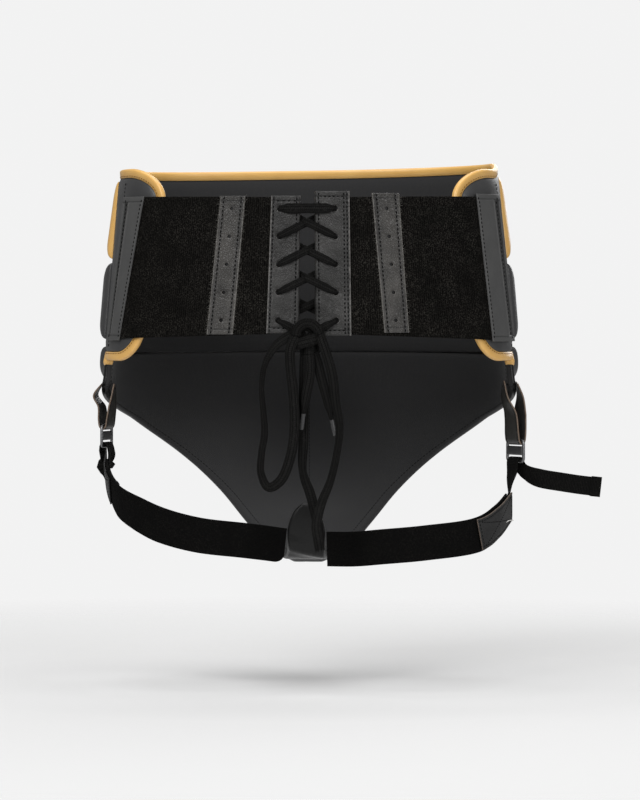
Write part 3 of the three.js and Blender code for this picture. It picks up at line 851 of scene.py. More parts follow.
class Graph:
    """Short ways to add nodes to a tree."""

    def __init__(self, tree: NodeTree) -> None:
        """Keep the tree."""
        self.tree = tree

    def add(self, kind: str, inputs: Optional[dict] = None, **settings: object) -> Node:
        """Add a node.

        Args:
            kind: The node's type.
            inputs: A value, or a socket to link from, for each input's name or number.
            settings: Values for the node's own properties.

        Returns:
            The node.
        """
        made = self.tree.nodes.new(kind)
        for key, value in settings.items():
            setattr(made, key, value)
        self.fill(made, inputs or {})
        return made

    def fill(self, node: Node, inputs: dict) -> None:
        """Give a node its inputs.

        Args:
            node: The node.
            inputs: A value, or a socket to link from, for each input's name or number.
        """
        for key, value in inputs.items():
            if isinstance(value, NodeSocket):
                self.tree.links.new(value, node.inputs[key])
            else:
                node.inputs[key].default_value = value

    def math(self, operation: str, *values: Union[float, NodeSocket]) -> NodeSocket:
        """Return the result of a Math node on the given values."""
        return self.add("ShaderNodeMath", dict(enumerate(values)), operation=operation).outputs[0]

    def mix(self, share: object, first: object, second: object) -> NodeSocket:
        """Return a colour between two colours."""
        inputs = {0: share, 6: first, 7: second}
        return self.add("ShaderNodeMix", inputs, data_type="RGBA").outputs[2]

    def span(self, value: object, low: float, high: float, first: float = 0.0,
             last: float = 1.0) -> NodeSocket:
        """Return a value carried from one range to another and kept inside it."""
        inputs = {0: value, 1: low, 2: high, 3: first, 4: last}
        return self.add("ShaderNodeMapRange", inputs).outputs[0]

    def noise(self, vector: object, scale: object, detail: float = 2.0) -> NodeSocket:
        """Return the value of a noise at a place."""
        inputs = {"Vector": vector, "Scale": scale, "Detail": detail}
        return self.add("ShaderNodeTexNoise", inputs).outputs[0]

    def bump(self, height: NodeSocket, strength: float, depth: float) -> NodeSocket:
        """Return the normal of a relief with a depth in metres."""
        inputs = {"Height": height, "Strength": strength, "Distance": depth}
        return self.add("ShaderNodeBump", inputs).outputs[0]

    def attribute(self, name: str) -> NodeSocket:
        """Return the number that the mesh holds under a name."""
        return self.add("ShaderNodeAttribute", attribute_name=name).outputs["Fac"]

    def places(self, pattern: Pattern) -> NodeSocket:
        """Return the coordinates that a pattern follows."""
        return self.add("ShaderNodeTexCoord").outputs[pattern.value]

    def group(self, tree: NodeTree, inputs: dict, output: str) -> NodeSocket:
        """Return an output of a shared group with its own inputs."""
        return self.add("ShaderNodeGroup", inputs, node_tree=tree).outputs[output]


def fresh_graph(owner: ID) -> Graph:
    """Empty the node tree of a material or a sky.

    Args:
        owner: The material or the sky.

    Returns:
        Its graph.
    """
    owner.use_nodes = True
    owner.node_tree.nodes.clear()
    return Graph(owner.node_tree)


def new_group(kind: str, name: str, inputs: dict[str, Optional[float]], outputs: Sequence[str]) -> tuple:
    """Start a node group with named sockets, which hold plain numbers unless they are listed here.

    Args:
        kind: The tree's type.
        name: The group's name.
        inputs: The inputs' names, each with its first value or nothing.
        outputs: The outputs' names.

    Returns:
        The group's graph, the sockets of its input node and its output node.
    """
    types = {"Vector": "Vector", "Geometry": "Geometry", "Thread": "Material", "Seed": "Int"}
    tree = bpy.data.node_groups.new(name, kind)
    rows = [("INPUT", label, value) for label, value in inputs.items()]
    for way, label, value in rows + [("OUTPUT", label, None) for label in outputs]:
        socket_type = "NodeSocket" + types.get(label, "Float")
        socket = tree.interface.new_socket(label, in_out=way, socket_type=socket_type)
        if value is not None:
            socket.default_value = value
    graph = Graph(tree)
    return graph, graph.add("NodeGroupInput").outputs, graph.add("NodeGroupOutput")


class Effects:
    """The shader groups that several finishes share, each built once."""

    def __init__(self) -> None:
        """Build every group."""
        self.grain = self.build_grain()
        self.ribs = self.build_ribs()
        self.braid = self.build_braid()
        self.lint = self.build_lint()
        self.raw_edge = self.build_raw_edge()

    @staticmethod
    def build_grain() -> NodeTree:
        """Build the pebbles and pores of leather.

        Returns:
            A group that puts out a height and a slow change of tone.
        """
        graph, start, end = new_group(
            "ShaderNodeTree", "leather_grain", {"Vector": None, "Scale": 700.0}, ["Height", "Tone"])
        place, scale = start["Vector"], start["Scale"]
        coarse = graph.math("MULTIPLY", scale, 0.45)
        bend = graph.add("ShaderNodeTexNoise", {"Vector": place, "Scale": coarse})
        shift = graph.add("ShaderNodeVectorMath", {0: bend.outputs[1], 1: (0.5, 0.5, 0.5)},
                          operation="SUBTRACT")
        amount = graph.math("DIVIDE", 1.1, scale)
        moved = graph.add("ShaderNodeVectorMath", {0: shift.outputs[0], "Scale": amount}, operation="SCALE")
        bent = graph.add("ShaderNodeVectorMath", {0: place, 1: moved.outputs[0]}, operation="ADD").outputs[0]
        cells = graph.add("ShaderNodeTexVoronoi", {"Vector": bent, "Scale": scale},
                          feature="DISTANCE_TO_EDGE")
        pebble = graph.span(cells.outputs["Distance"], 0.0, 0.32)
        fine = graph.noise(place, graph.math("MULTIPLY", scale, 3.0), 3.0)
        slow = graph.noise(place, graph.math("MULTIPLY", scale, 0.05), 4.0)
        height = graph.math("ADD", graph.math("MULTIPLY", pebble, 0.75), graph.math("MULTIPLY", fine, 0.25))
        graph.fill(end, {"Height": height, "Tone": graph.span(slow, 0.3, 0.7)})
        return graph.tree

    @staticmethod
    def build_ribs() -> NodeTree:
        """Build the ribs and picks of woven elastic and webbing.

        Returns:
            A group that puts out a height.
        """
        graph, start, end = new_group(
            "ShaderNodeTree", "woven_ribs", {"Vector": None, "Rib": 0.0015, "Pick": 0.0009}, ["Height"])
        parts = graph.add("ShaderNodeSeparateXYZ", {0: start["Vector"]}).outputs
        rib = graph.math("DIVIDE", parts[0], start["Rib"])
        pick = graph.math("DIVIDE", parts[1], start["Pick"])
        crown = graph.math("ABSOLUTE", graph.math("SINE", graph.math("MULTIPLY", rib, math.pi)))
        odd = graph.math("MULTIPLY", graph.math("FLOOR", rib), 0.5)
        wave = graph.math("SINE", graph.math("MULTIPLY", graph.math("ADD", pick, odd), TURN))
        share = graph.math("MULTIPLY_ADD", wave, 0.25, 0.75)
        graph.fill(end, {"Height": graph.math("MULTIPLY", crown, share)})
        return graph.tree

    @staticmethod
    def build_braid() -> NodeTree:
        """Build the slanting plaits of a flat braid.

        Returns:
            A group that puts out a height.
        """
        graph, start, end = new_group(
            "ShaderNodeTree", "lace_braid", {"Vector": None, "Plait": 0.0016, "Wales": 14.0}, ["Height"])
        parts = graph.add("ShaderNodeSeparateXYZ", {0: start["Vector"]}).outputs
        along = graph.math("DIVIDE", parts[0], start["Plait"])
        wale = graph.math("MULTIPLY", parts[1], start["Wales"])
        zigzag = graph.math("PINGPONG", wale, 1.0)
        slant = graph.math("SINE", graph.math("MULTIPLY", graph.math("ADD", along, zigzag), TURN))
        ridge = graph.math("ABSOLUTE", graph.math("SINE", graph.math("MULTIPLY", wale, math.pi)))
        share = graph.math("MULTIPLY_ADD", slant, 0.3, 0.7)
        graph.fill(end, {"Height": graph.math("MULTIPLY", ridge, share)})
        return graph.tree

    @staticmethod
    def build_lint() -> NodeTree:
        """Build the fine specks of fibre and dust on dark cloth.

        Returns:
            A group that puts out a mask.
        """
        graph, start, end = new_group("ShaderNodeTree", "lint", {"Vector": None, "Amount": 0.5}, ["Mask"])
        specks = graph.span(graph.noise(start["Vector"], 900.0, 2.0), 0.48, 0.72)
        patches = graph.span(graph.noise(start["Vector"], 60.0, 3.0), 0.3, 0.7, 0.25)
        mask = graph.math("MULTIPLY", graph.math("MULTIPLY", specks, patches), start["Amount"])
        graph.fill(end, {"Mask": mask})
        return graph.tree

    @staticmethod
    def build_raw_edge() -> NodeTree:
        """Build the rough pale core that shows along a cut edge; the same mask draws the pale highlight
        painted along a fold's bead.

        Returns:
            A group that puts out a mask.
        """
        graph, start, end = new_group(
            "ShaderNodeTree", "raw_edge", {"Vector": None, "Edge": None, "Amount": 0.5}, ["Mask"])
        rough = graph.noise(start["Vector"], 420.0, 4.0)
        near = graph.math("ADD", start["Edge"], graph.math("MULTIPLY", rough, 1.2))
        graph.fill(end, {"Mask": graph.math("MULTIPLY", graph.span(near, 0.95, 1.5), start["Amount"])})
        return graph.tree


def rgba(colour: Colour) -> tuple[float, float, float, float]:
    """Return a colour with full alpha."""
    return (*colour, 1.0)


@dataclass(frozen=True)
class Finish:
    """What every finish has: a name, a colour, a darker colour and a roughness. In leather the darker colour
    stands for random tone and for shade painted into the grain's valleys, in cloth for shade painted into the
    weave's grooves, and in plain finishes for random unevenness.
    """

    name: str
    colour: Colour
    shade: Colour
    roughness: float

    def look(self, graph: Graph, effects: Effects) -> dict[str, object]:
        """Return a value or a socket for each input of the shader."""
        raise NotImplementedError

    def material(self, effects: Effects) -> Material:
        """Build the material.

        Args:
            effects: The shared groups.

        Returns:
            The material.
        """
        material = bpy.data.materials.new(self.name)
        graph = fresh_graph(material)
        shader = graph.add("ShaderNodeBsdfPrincipled", self.look(graph, effects))
        graph.add("ShaderNodeOutputMaterial", {"Surface": shader.outputs[0]})
        return material


@dataclass(frozen=True)
class Leather(Finish):
    """Grained leather with a pale cut edge, shade painted into its grooves and hollows and a painted
    highlight along a fold's bead.
    """

    grain: float = 700.0
    depth: float = 0.00012
    edge_colour: Colour = (0.2, 0.195, 0.19)
    edge_amount: float = 0.0
    coat: float = 0.0
    gloss: float = 0.5

    def look(self, graph: Graph, effects: Effects) -> dict[str, object]:
        """Vary the leather's tone by its grain, paint shade into its grooves and hollows and bare its cut
        edges, with the painted highlight of a fold's bead.

        Args:
            graph: The material's graph.
            effects: The shared groups.

        Returns:
            A value or a socket for each input of the shader.
        """
        place = graph.places(Pattern.SOLID)
        grain = graph.add("ShaderNodeGroup", {"Vector": place, "Scale": self.grain}, node_tree=effects.grain)
        tone, height = grain.outputs["Tone"], grain.outputs["Height"]
        # Random tone, with painted light and shade on the grain: lighter pebble crowns, darker valleys.
        worn = graph.math("MULTIPLY_ADD", tone, 0.72, graph.math("MULTIPLY", height, 0.28))
        colour = graph.mix(worn, rgba(self.shade), rgba(self.colour))
        # Painted shade: the colour goes towards black in creases, grooves and hollows.
        sunk = graph.math("MULTIPLY", graph.attribute("shade"), 0.9)
        colour = graph.mix(sunk, colour, rgba(BLACK))
        # Pale raw cut edges, and the pale highlight painted along a fold's bead.
        if self.edge_amount:
            inputs = {"Vector": place, "Edge": graph.attribute("edge"), "Amount": self.edge_amount}
            colour = graph.mix(graph.group(effects.raw_edge, inputs, "Mask"), colour, rgba(self.edge_colour))
        rough = graph.span(worn, 0.0, 1.0, self.roughness + 0.1, self.roughness - 0.07)
        return {"Base Color": colour, "Roughness": rough, "Specular IOR Level": self.gloss,
                "Coat Weight": self.coat, "Coat Roughness": 0.35,
                "Normal": graph.bump(height, 0.9, self.depth)}


@dataclass(frozen=True)
class Cloth(Finish):
    """Ribbed elastic, webbing, lining or flat braided lace, with lint."""

    weave: Weave = Weave.RIBS
    sizes: Pair = (0.0015, 0.0009)
    depth: float = 0.0003
    strength: float = 0.8
    lint: float = 0.5
    lint_colour: Colour = (0.06, 0.056, 0.049)
    groove_roughness: float = 1.0
    sheen: float = 0.0
    gloss: float = 0.05

    def look(self, graph: Graph, effects: Effects) -> dict[str, object]:
        """Draw the weave on the sheet, with shade painted into its grooves, and strew it with lint.

        Args:
            graph: The material's graph.
            effects: The shared groups.

        Returns:
            A value or a socket for each input of the shader.
        """
        group, *names = self.weave.value
        inputs = {"Vector": graph.places(Pattern.SHEET), **dict(zip(names, self.sizes))}
        height = graph.group(getattr(effects, group), inputs, "Height")
        specks = {"Vector": graph.places(Pattern.SOLID), "Amount": self.lint}
        # Painted shade: the weave's grooves take the darker colour, its crowns the lighter one.
        base = graph.mix(height, rgba(self.shade), rgba(self.colour))
        colour = graph.mix(graph.group(effects.lint, specks, "Mask"), base, rgba(self.lint_colour))
        rough = graph.span(height, 0.0, 1.0, self.groove_roughness, self.roughness)
        return {"Base Color": colour, "Roughness": rough, "Sheen Weight": self.sheen,
                "Specular IOR Level": self.gloss, "Normal": graph.bump(height, self.strength, self.depth)}


@dataclass(frozen=True)
class Plain(Finish):
    """Thread, plastic or steel with a slight unevenness."""

    metallic: float = 0.0
    gloss: float = 0.5
    scale: float = 400.0
    depth: float = 0.00005

    def look(self, graph: Graph, effects: Effects) -> dict[str, object]:
        """Vary the colour and the roughness a little.

        Args:
            graph: The material's graph.
            effects: The shared groups, which this finish has no use for.

        Returns:
            A value or a socket for each input of the shader.
        """
        uneven = graph.noise(graph.places(Pattern.SOLID), self.scale, 3.0)
        colour = graph.mix(graph.span(uneven, 0.3, 0.7), rgba(self.shade), rgba(self.colour))
        rough = graph.span(uneven, 0.3, 0.7, self.roughness + 0.08, self.roughness - 0.08)
        return {"Base Color": colour, "Roughness": rough, "Metallic": self.metallic,
                "Specular IOR Level": self.gloss, "Normal": graph.bump(uneven, 0.6, self.depth)}


class Look(Enum):
    """Every finish of the guard."""

    WING = Leather("wing_leather", (0.043, 0.043, 0.044), (0.03, 0.03, 0.031), 0.42, grain=900.0,
                   depth=0.00006)
    PAD = Leather("pad_leather", (0.045, 0.045, 0.046), (0.03, 0.03, 0.031), 0.36, grain=800.0,
                  depth=0.0001)
    FLAP = Leather("flap_leather", (0.01, 0.0099, 0.0097), (0.006, 0.006, 0.006), 0.3, grain=900.0,
                   depth=0.00006, gloss=0.2)
    GOLD = Leather("gold_leather", (0.77, 0.46, 0.135), (0.69, 0.385, 0.1), 0.36, grain=1100.0,
                   depth=0.00005, coat=0.3)
    # On the smooth strip the edge colour draws mostly the pale highlight painted along the fold's bead,
    # besides the raw rim.
    STRIP = Leather("smooth_strip", (0.066, 0.066, 0.065), (0.05, 0.05, 0.05), 0.46, grain=1200.0,
                    depth=0.00004, edge_amount=0.6, edge_colour=(0.17, 0.165, 0.16))
    EYELET = Leather("pebbled_strip", (0.08, 0.075, 0.069), (0.004, 0.004, 0.0036), 0.33, grain=560.0,
                     depth=0.0004, edge_amount=0.9, edge_colour=(0.17, 0.162, 0.15), gloss=0.4)
    PANEL = Leather("panel_leather", (0.05, 0.0485, 0.047), (0.003, 0.003, 0.0028), 0.34, grain=600.0,
                    depth=0.00022, edge_amount=0.8, edge_colour=(0.16, 0.153, 0.145), gloss=0.3)
    TAB = Leather("tab_leather", (0.03, 0.029, 0.026), (0.012, 0.0115, 0.01), 0.36, grain=900.0,
                  depth=0.00012, edge_amount=0.9, edge_colour=(0.14, 0.095, 0.065))
    PATCH = Leather("patch_leather", (0.019, 0.019, 0.019), (0.011, 0.011, 0.011), 0.5, grain=1000.0,
                    depth=0.0001, gloss=0.3, edge_amount=0.6, edge_colour=(0.15, 0.115, 0.09))
    LINING = Cloth("lining_cloth", (0.033, 0.033, 0.034), (0.026, 0.026, 0.027), 0.85,
                   sizes=(0.0012, 0.0012), depth=0.0001, lint=0.2, sheen=0.1)
    ELASTIC = Cloth("belt_elastic", (0.007, 0.0066, 0.006), (0.0006, 0.0006, 0.0005), 0.9,
                    sizes=(0.0019, 0.0014), depth=0.0004, lint=0.55, gloss=0.03)
    LEG = Cloth("leg_elastic", (0.0045, 0.0043, 0.0042), (0.0012, 0.0012, 0.0012), 0.9,
                sizes=(0.0011, 0.0009), depth=0.0002, lint=0.12)
    WEBBING = Cloth("strap_webbing", (0.0075, 0.0073, 0.007), (0.0014, 0.0014, 0.0014), 0.85,
                    sizes=(0.0014, 0.0012), lint=0.15)
    LACE = Cloth("lace_cord", (0.0105, 0.0102, 0.0098), (0.0008, 0.0008, 0.0008), 0.6, Weave.BRAID,
                 (0.0018, 14.0), depth=0.0004, strength=0.9, lint=0.3, lint_colour=(0.035, 0.034, 0.032),
                 groove_roughness=0.95, gloss=0.07)
    THREAD = Plain("black_thread", BLACK, (0.002, 0.002, 0.002), 0.7, gloss=0.08, scale=3000.0)
    GOLD_THREAD = Plain("gold_thread", (0.22, 0.085, 0.012), (0.13, 0.05, 0.008), 0.7, gloss=0.1,
                        scale=3000.0)
    PALE_THREAD = Plain("pale_thread", (0.78, 0.77, 0.74), (0.64, 0.63, 0.6), 0.6, scale=3000.0)
    FIBRE = Plain("leather_fibre", (0.2, 0.19, 0.175), (0.06, 0.057, 0.05), 0.8, gloss=0.1, scale=2000.0)
    STEEL = Plain("dull_steel", (0.24, 0.24, 0.245), (0.17, 0.17, 0.175), 0.4, metallic=1.0, scale=900.0,
                  depth=0.00002)
    TIP = Plain("clear_tip", (0.05, 0.05, 0.051), (0.025, 0.025, 0.026), 0.25, scale=900.0)


class Workshop:
    """Keeps the materials and attaches each finished piece to the body."""

    def __init__(self) -> None:
        """Build every material once."""
        effects = Effects()
        self.materials = {look: look.value.material(effects) for look in Look}
        self.trees = {tree.sizes: tree() for tree in (StitchTree, FrayTree)}

    def dress(self, piece: Object, slot: Slot, looks: Sequence[Look] = (),
              nodes: Sequence[str] = ()) -> Object:
        """Give a piece its finishes, its body and the solids that it stands for.

        Args:
            piece: The finished object.
            slot: The record's material slot; not used.
            looks: Its finishes, the outer one first.
            nodes: The solids that it replaces.

        Returns:
            The piece.
        """
        for look in looks:
            piece.data.materials.append(self.materials[look])
        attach(piece, BODY)
        if nodes:
            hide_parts(*nodes)
        LOG.info("%s: %d faces", piece.name, len(piece.data.polygons))
        return piece

    def sew(self, name: str, seams: Sequence[Seam], sizes: "SeamSizes", look: Look = Look.THREAD,
            slot: Slot = Slot.BLACK) -> None:
        """Lay stitches, or let loose fibres stand, along seams as one piece."""
        piece = self.trees[type(sizes)].lay(name, seams, self.materials[look], sizes.inputs())
        self.dress(piece, slot)


@dataclass(frozen=True)
class SeamSizes:
    """The step and the length of what is laid along a seam."""

    pitch: float
    length: float

    def inputs(self) -> dict[str, float]:
        """Return the sizes under the tree's input names."""
        return {name.title(): value for name, value in asdict(self).items()}


@dataclass(frozen=True)
class StitchSizes(SeamSizes):
    """How long, wide and high stitches are, and how far apart."""

    width: float
    height: float


@dataclass(frozen=True)
class FraySizes(SeamSizes):
    """How far apart, long and thick loose fibres are, and their seed."""

    thick: float
    seed: int


class SeamTree:
    """A Geometry Nodes tree that puts copies of a shape along seams."""

    sizes: type = SeamSizes
    label = "along_seams"

    def __init__(self) -> None:
        """Build the tree, which starts with a curve that is resampled to even points."""
        names = [size.name.title() for size in fields(self.sizes)]
        graph, start, end = new_group(
            "GeometryNodeTree", self.label, dict.fromkeys(["Geometry", *names, "Thread"]), ["Geometry"])
        self.tree = graph.tree
        self.tree.is_modifier = True
        curve = graph.add("GeometryNodeMeshToCurve", {"Mesh": start["Geometry"]})
        points = graph.add("GeometryNodeResampleCurve", {
            "Curve": curve.outputs[0], "Length": start["Pitch"]}, mode="LENGTH")
        inputs = {"Points": points.outputs[0], **self.copies(graph, start)}
        copies = graph.add("GeometryNodeInstanceOnPoints", inputs)
        real = graph.add("GeometryNodeRealizeInstances", {0: copies.outputs[0]})
        coloured = graph.add("GeometryNodeSetMaterial", {
            "Geometry": real.outputs[0], "Material": start["Thread"]})
        graph.fill(end, {"Geometry": coloured.outputs[0]})

    def copies(self, graph: Graph, start: dict[str, NodeSocket]) -> dict[str, NodeSocket]:
        """Return the shape, the rotation and the size of the copies."""
        raise NotImplementedError

    @staticmethod
    def facing(graph: Graph) -> NodeSocket:
        """Return the direction that each seam point faces."""
        return graph.add("GeometryNodeInputNamedAttribute", {"Name": "facing"},
                         data_type="FLOAT_VECTOR").outputs[0]

    def lay(self, name: str, seams: Sequence[Seam], material: Material,
            values: dict[str, float]) -> Object:
        """Run the tree on seams and keep the result as a plain mesh.

        Args:
            name: The object's name.
            seams: The seams' points and the directions that they face.
            material: The copies' material.
            values: A value for each named input.

        Returns:
            The object.
        """
        points: list[tuple] = []
        edges: list[tuple[int, int]] = []
        facing: list[float] = []
        for seam in seams:
            first = len(points)
            points.extend(tuple(point) for point, _ in seam)
            for _, out in seam:
                facing.extend(out)
            edges.extend((i, i + 1) for i in range(first, len(points) - 1))
        piece = new_object(name, points, (), edges)
        piece.data.attributes.new("facing", "FLOAT_VECTOR", "POINT").data.foreach_set("vector", facing)
        modifier = piece.modifiers.new(self.label, "NODES")
        modifier.node_group = self.tree
        sockets = {item.name: item.identifier for item in self.tree.interface.items_tree
                   if item.in_out == "INPUT"}
        for label, value in values.items():
            modifier[sockets[label]] = value
        modifier[sockets["Thread"]] = material
        bake(piece)
        smooth(piece.data)
        return piece


class StitchTree(SeamTree):
    """Lays a long round stitch at each step of a seam."""

    sizes = StitchSizes
    label = "stitches"

    def copies(self, graph: Graph, start: dict[str, NodeSocket]) -> dict[str, NodeSocket]:
        """Point each stitch along its seam.

        Args:
            graph: The tree's graph.
            start: The tree's inputs.

        Returns:
            The shape, the rotation and the size of the stitches.
        """
        stitch = graph.add("GeometryNodeMeshUVSphere", {"Segments": 6, "Rings": 5, "Radius": 0.5})
        tangent = graph.add("GeometryNodeInputTangent").outputs[0]
        along = graph.add("FunctionNodeAlignRotationToVector", {"Vector": tangent}, axis="X")
        turned = graph.add("FunctionNodeAlignRotationToVector", {
            "Rotation": along.outputs[0], "Vector": self.facing(graph)}, axis="Z", pivot_axis="X")
        size = graph.add("ShaderNodeCombineXYZ", {0: start["Length"], 1: start["Width"], 2: start["Height"]})
        return {"Instance": stitch.outputs[0], "Rotation": turned.outputs[0], "Scale": size.outputs[0]}


class FrayTree(SeamTree):
    """Lets thin tapered fibres stand out of an edge at seeded random angles."""

    sizes = FraySizes
    label = "frays"
    lean = 1.1

    def copies(self, graph: Graph, start: dict[str, NodeSocket]) -> dict[str, NodeSocket]:
        """Point each fibre about the way that the edge faces.

        Args:
            graph: The tree's graph.
            start: The tree's inputs.

        Returns:
            The shape, the rotation and the size of the fibres.
        """
        fibre = graph.add("GeometryNodeMeshCone", {
            "Vertices": 4, "Side Segments": 2, "Radius Top": 0.2, "Radius Bottom": 0.5, "Depth": 1.0})
        out = graph.add("FunctionNodeAlignRotationToVector", {"Vector": self.facing(graph)}, axis="Z")
        lean = graph.add("FunctionNodeRandomValue", {
            0: (-self.lean, -self.lean, 0.0), 1: (self.lean, self.lean, TURN), "Seed": start["Seed"]},
            data_type="FLOAT_VECTOR")
        leaning = graph.add("FunctionNodeRotateRotation", {
            "Rotation": out.outputs[0], "Rotate By": lean.outputs[0]}, rotation_space="LOCAL")
        longer = graph.add("FunctionNodeRandomValue", {
            2: 0.3, 3: 1.0, "Seed": graph.math("ADD", start["Seed"], 1.0)}, data_type="FLOAT")
        length = graph.math("MULTIPLY", start["Length"], longer.outputs[1])
        size = graph.add("ShaderNodeCombineXYZ", {0: start["Thick"], 1: start["Thick"], 2: length})
        return {"Instance": fibre.outputs[0], "Rotation": leaning.outputs[0], "Scale": size.outputs[0]}


# The studio


@dataclass(frozen=True)
class Softbox:
    """One square area light."""

    name: str
    place: Row
    aim: Row
    size: float
    watts: float


@dataclass
class Studio:
    """The camera, the lights and the pale floor."""

    eye: Row = (0.0099, -3.6, -0.0395)
    target: Row = (0.0099, 0.0, -0.1196)
    lens: float = 180.0
    sensor: float = 36.0
    floor_height: float = -0.375
    floor_radius: float = 2.4
    pale: Colour = (0.89, 0.89, 0.89)
    floor_tone: float = 0.71
    floor_fade: Pair = (0.35, 1.1)
    sky: float = 0.28
    softboxes: Sequence[Softbox] = (
        Softbox("key_light", (-1.3, -2.4, 1.5), (0.0, 0.0, -0.1), 1.6, 60.0),
        Softbox("fill_light", (1.7, -2.0, 0.5), (0.0, 0.0, -0.1), 1.4, 24.0),
        Softbox("top_light", (0.0, 0.1, 1.9), (0.0, 0.0, 0.0), 1.5, 26.0),
        Softbox("front_light", (0.9, 2.4, 0.9), (0.0, 0.0, -0.1), 1.5, 22.0),
    )

    def build(self) -> None:
        """Make the camera, the lights, the sky and the floor."""
        self.build_camera()
        for box in self.softboxes:
            self.build_light(box)
        self.build_sky()
        self.build_floor()
        bpy.context.scene.view_settings.view_transform = "Standard"

    def build_camera(self) -> None:
        """Stand the camera at the photograph's angle."""
        data = bpy.data.cameras.new("camera")
        data.lens = self.lens
        data.sensor_width = self.sensor
        bpy.context.scene.camera = self.stand("camera", data, self.eye, self.target)

    @staticmethod
    def stand(name: str, data: ID, place: Row, aim: Row) -> Object:
        """Put a camera or a light in the scene.

        Args:
            name: Its name.
            data: Its settings.
            place: Where it stands.
            aim: What it looks at.

        Returns:
            The object.
        """
        made = bpy.data.objects.new(name, data)
        made.location = place
        made.rotation_euler = (Vector(aim) - Vector(place)).to_track_quat("-Z", "Y").to_euler()
        bpy.context.scene.collection.objects.link(made)
        return made

    def build_light(self, box: Softbox) -> None:
        """Hang one softbox.

        Args:
            box: The light's place, aim, size and power.
        """
        data = bpy.data.lights.new(box.name, "AREA")
        data.energy, data.size = box.watts, box.size
        self.stand(box.name, data, box.place, box.aim)

    def build_sky(self) -> None:
        """Surround the object with an even pale light."""
        world = bpy.data.worlds.new("studio")
        bpy.context.scene.world = world
        graph = fresh_graph(world)
        seen = graph.add("ShaderNodeBackground", {"Color": rgba(self.pale), "Strength": 1.0})
        lit = graph.add("ShaderNodeBackground", {"Color": (1.0, 1.0, 1.0, 1.0), "Strength": self.sky})
        ray = graph.add("ShaderNodeLightPath").outputs["Is Camera Ray"]
        both = graph.add("ShaderNodeMixShader", {0: ray, 1: lit.outputs[0], 2: seen.outputs[0]})
        graph.add("ShaderNodeOutputWorld", {"Surface": both.outputs[0]})

    def build_floor(self) -> None:
        """Lay a round pale floor that fades into the sky."""
        sides = 64
        points = [(0.0, 0.0, self.floor_height)]
        for k in range(sides):
            turn = TURN * k / sides
            points.append((self.floor_radius * math.cos(turn), self.floor_radius * math.sin(turn),
                           self.floor_height))
        faces = [(0, k + 1, (k + 1) % sides + 1) for k in range(sides)]
        floor = new_object("floor", points, faces)
        material = bpy.data.materials.new("pale_floor")
        graph = fresh_graph(material)
        place = graph.places(Pattern.SOLID)
        away = graph.add("ShaderNodeVectorMath", {0: place, 1: (1.0, 1.0, 0.0)}, operation="MULTIPLY")
        distance = graph.add("ShaderNodeVectorMath", {0: away.outputs[0]}, operation="LENGTH")
        fade = graph.span(distance.outputs["Value"], *self.floor_fade)
        solid = graph.add("ShaderNodeBsdfDiffuse", {"Color": rgba((self.floor_tone,) * 3)})
        clear = graph.add("ShaderNodeBsdfTransparent")
        both = graph.add("ShaderNodeMixShader", {0: fade, 1: solid.outputs[0], 2: clear.outputs[0]})
        graph.add("ShaderNodeOutputMaterial", {"Surface": both.outputs[0]})
        floor.data.materials.append(material)


# Laces


@dataclass(frozen=True)
class Eyelets:
    """The rows of eyelets down the back, and where the laced ones are round it."""

    top: float = 0.05
    pitch: float = 0.0244
    rows: int = 5
    left: float = -0.026
    right: float = 0.0235

    def height(self, row: int) -> float:
        """Return the height of a row, counted from 0 at the top."""
        return self.top - row * self.pitch

    def arc(self, side: Side) -> float:
        """Return the arc of a panel's laced eyelets."""
        return self.right if side is Side.RIGHT else self.left


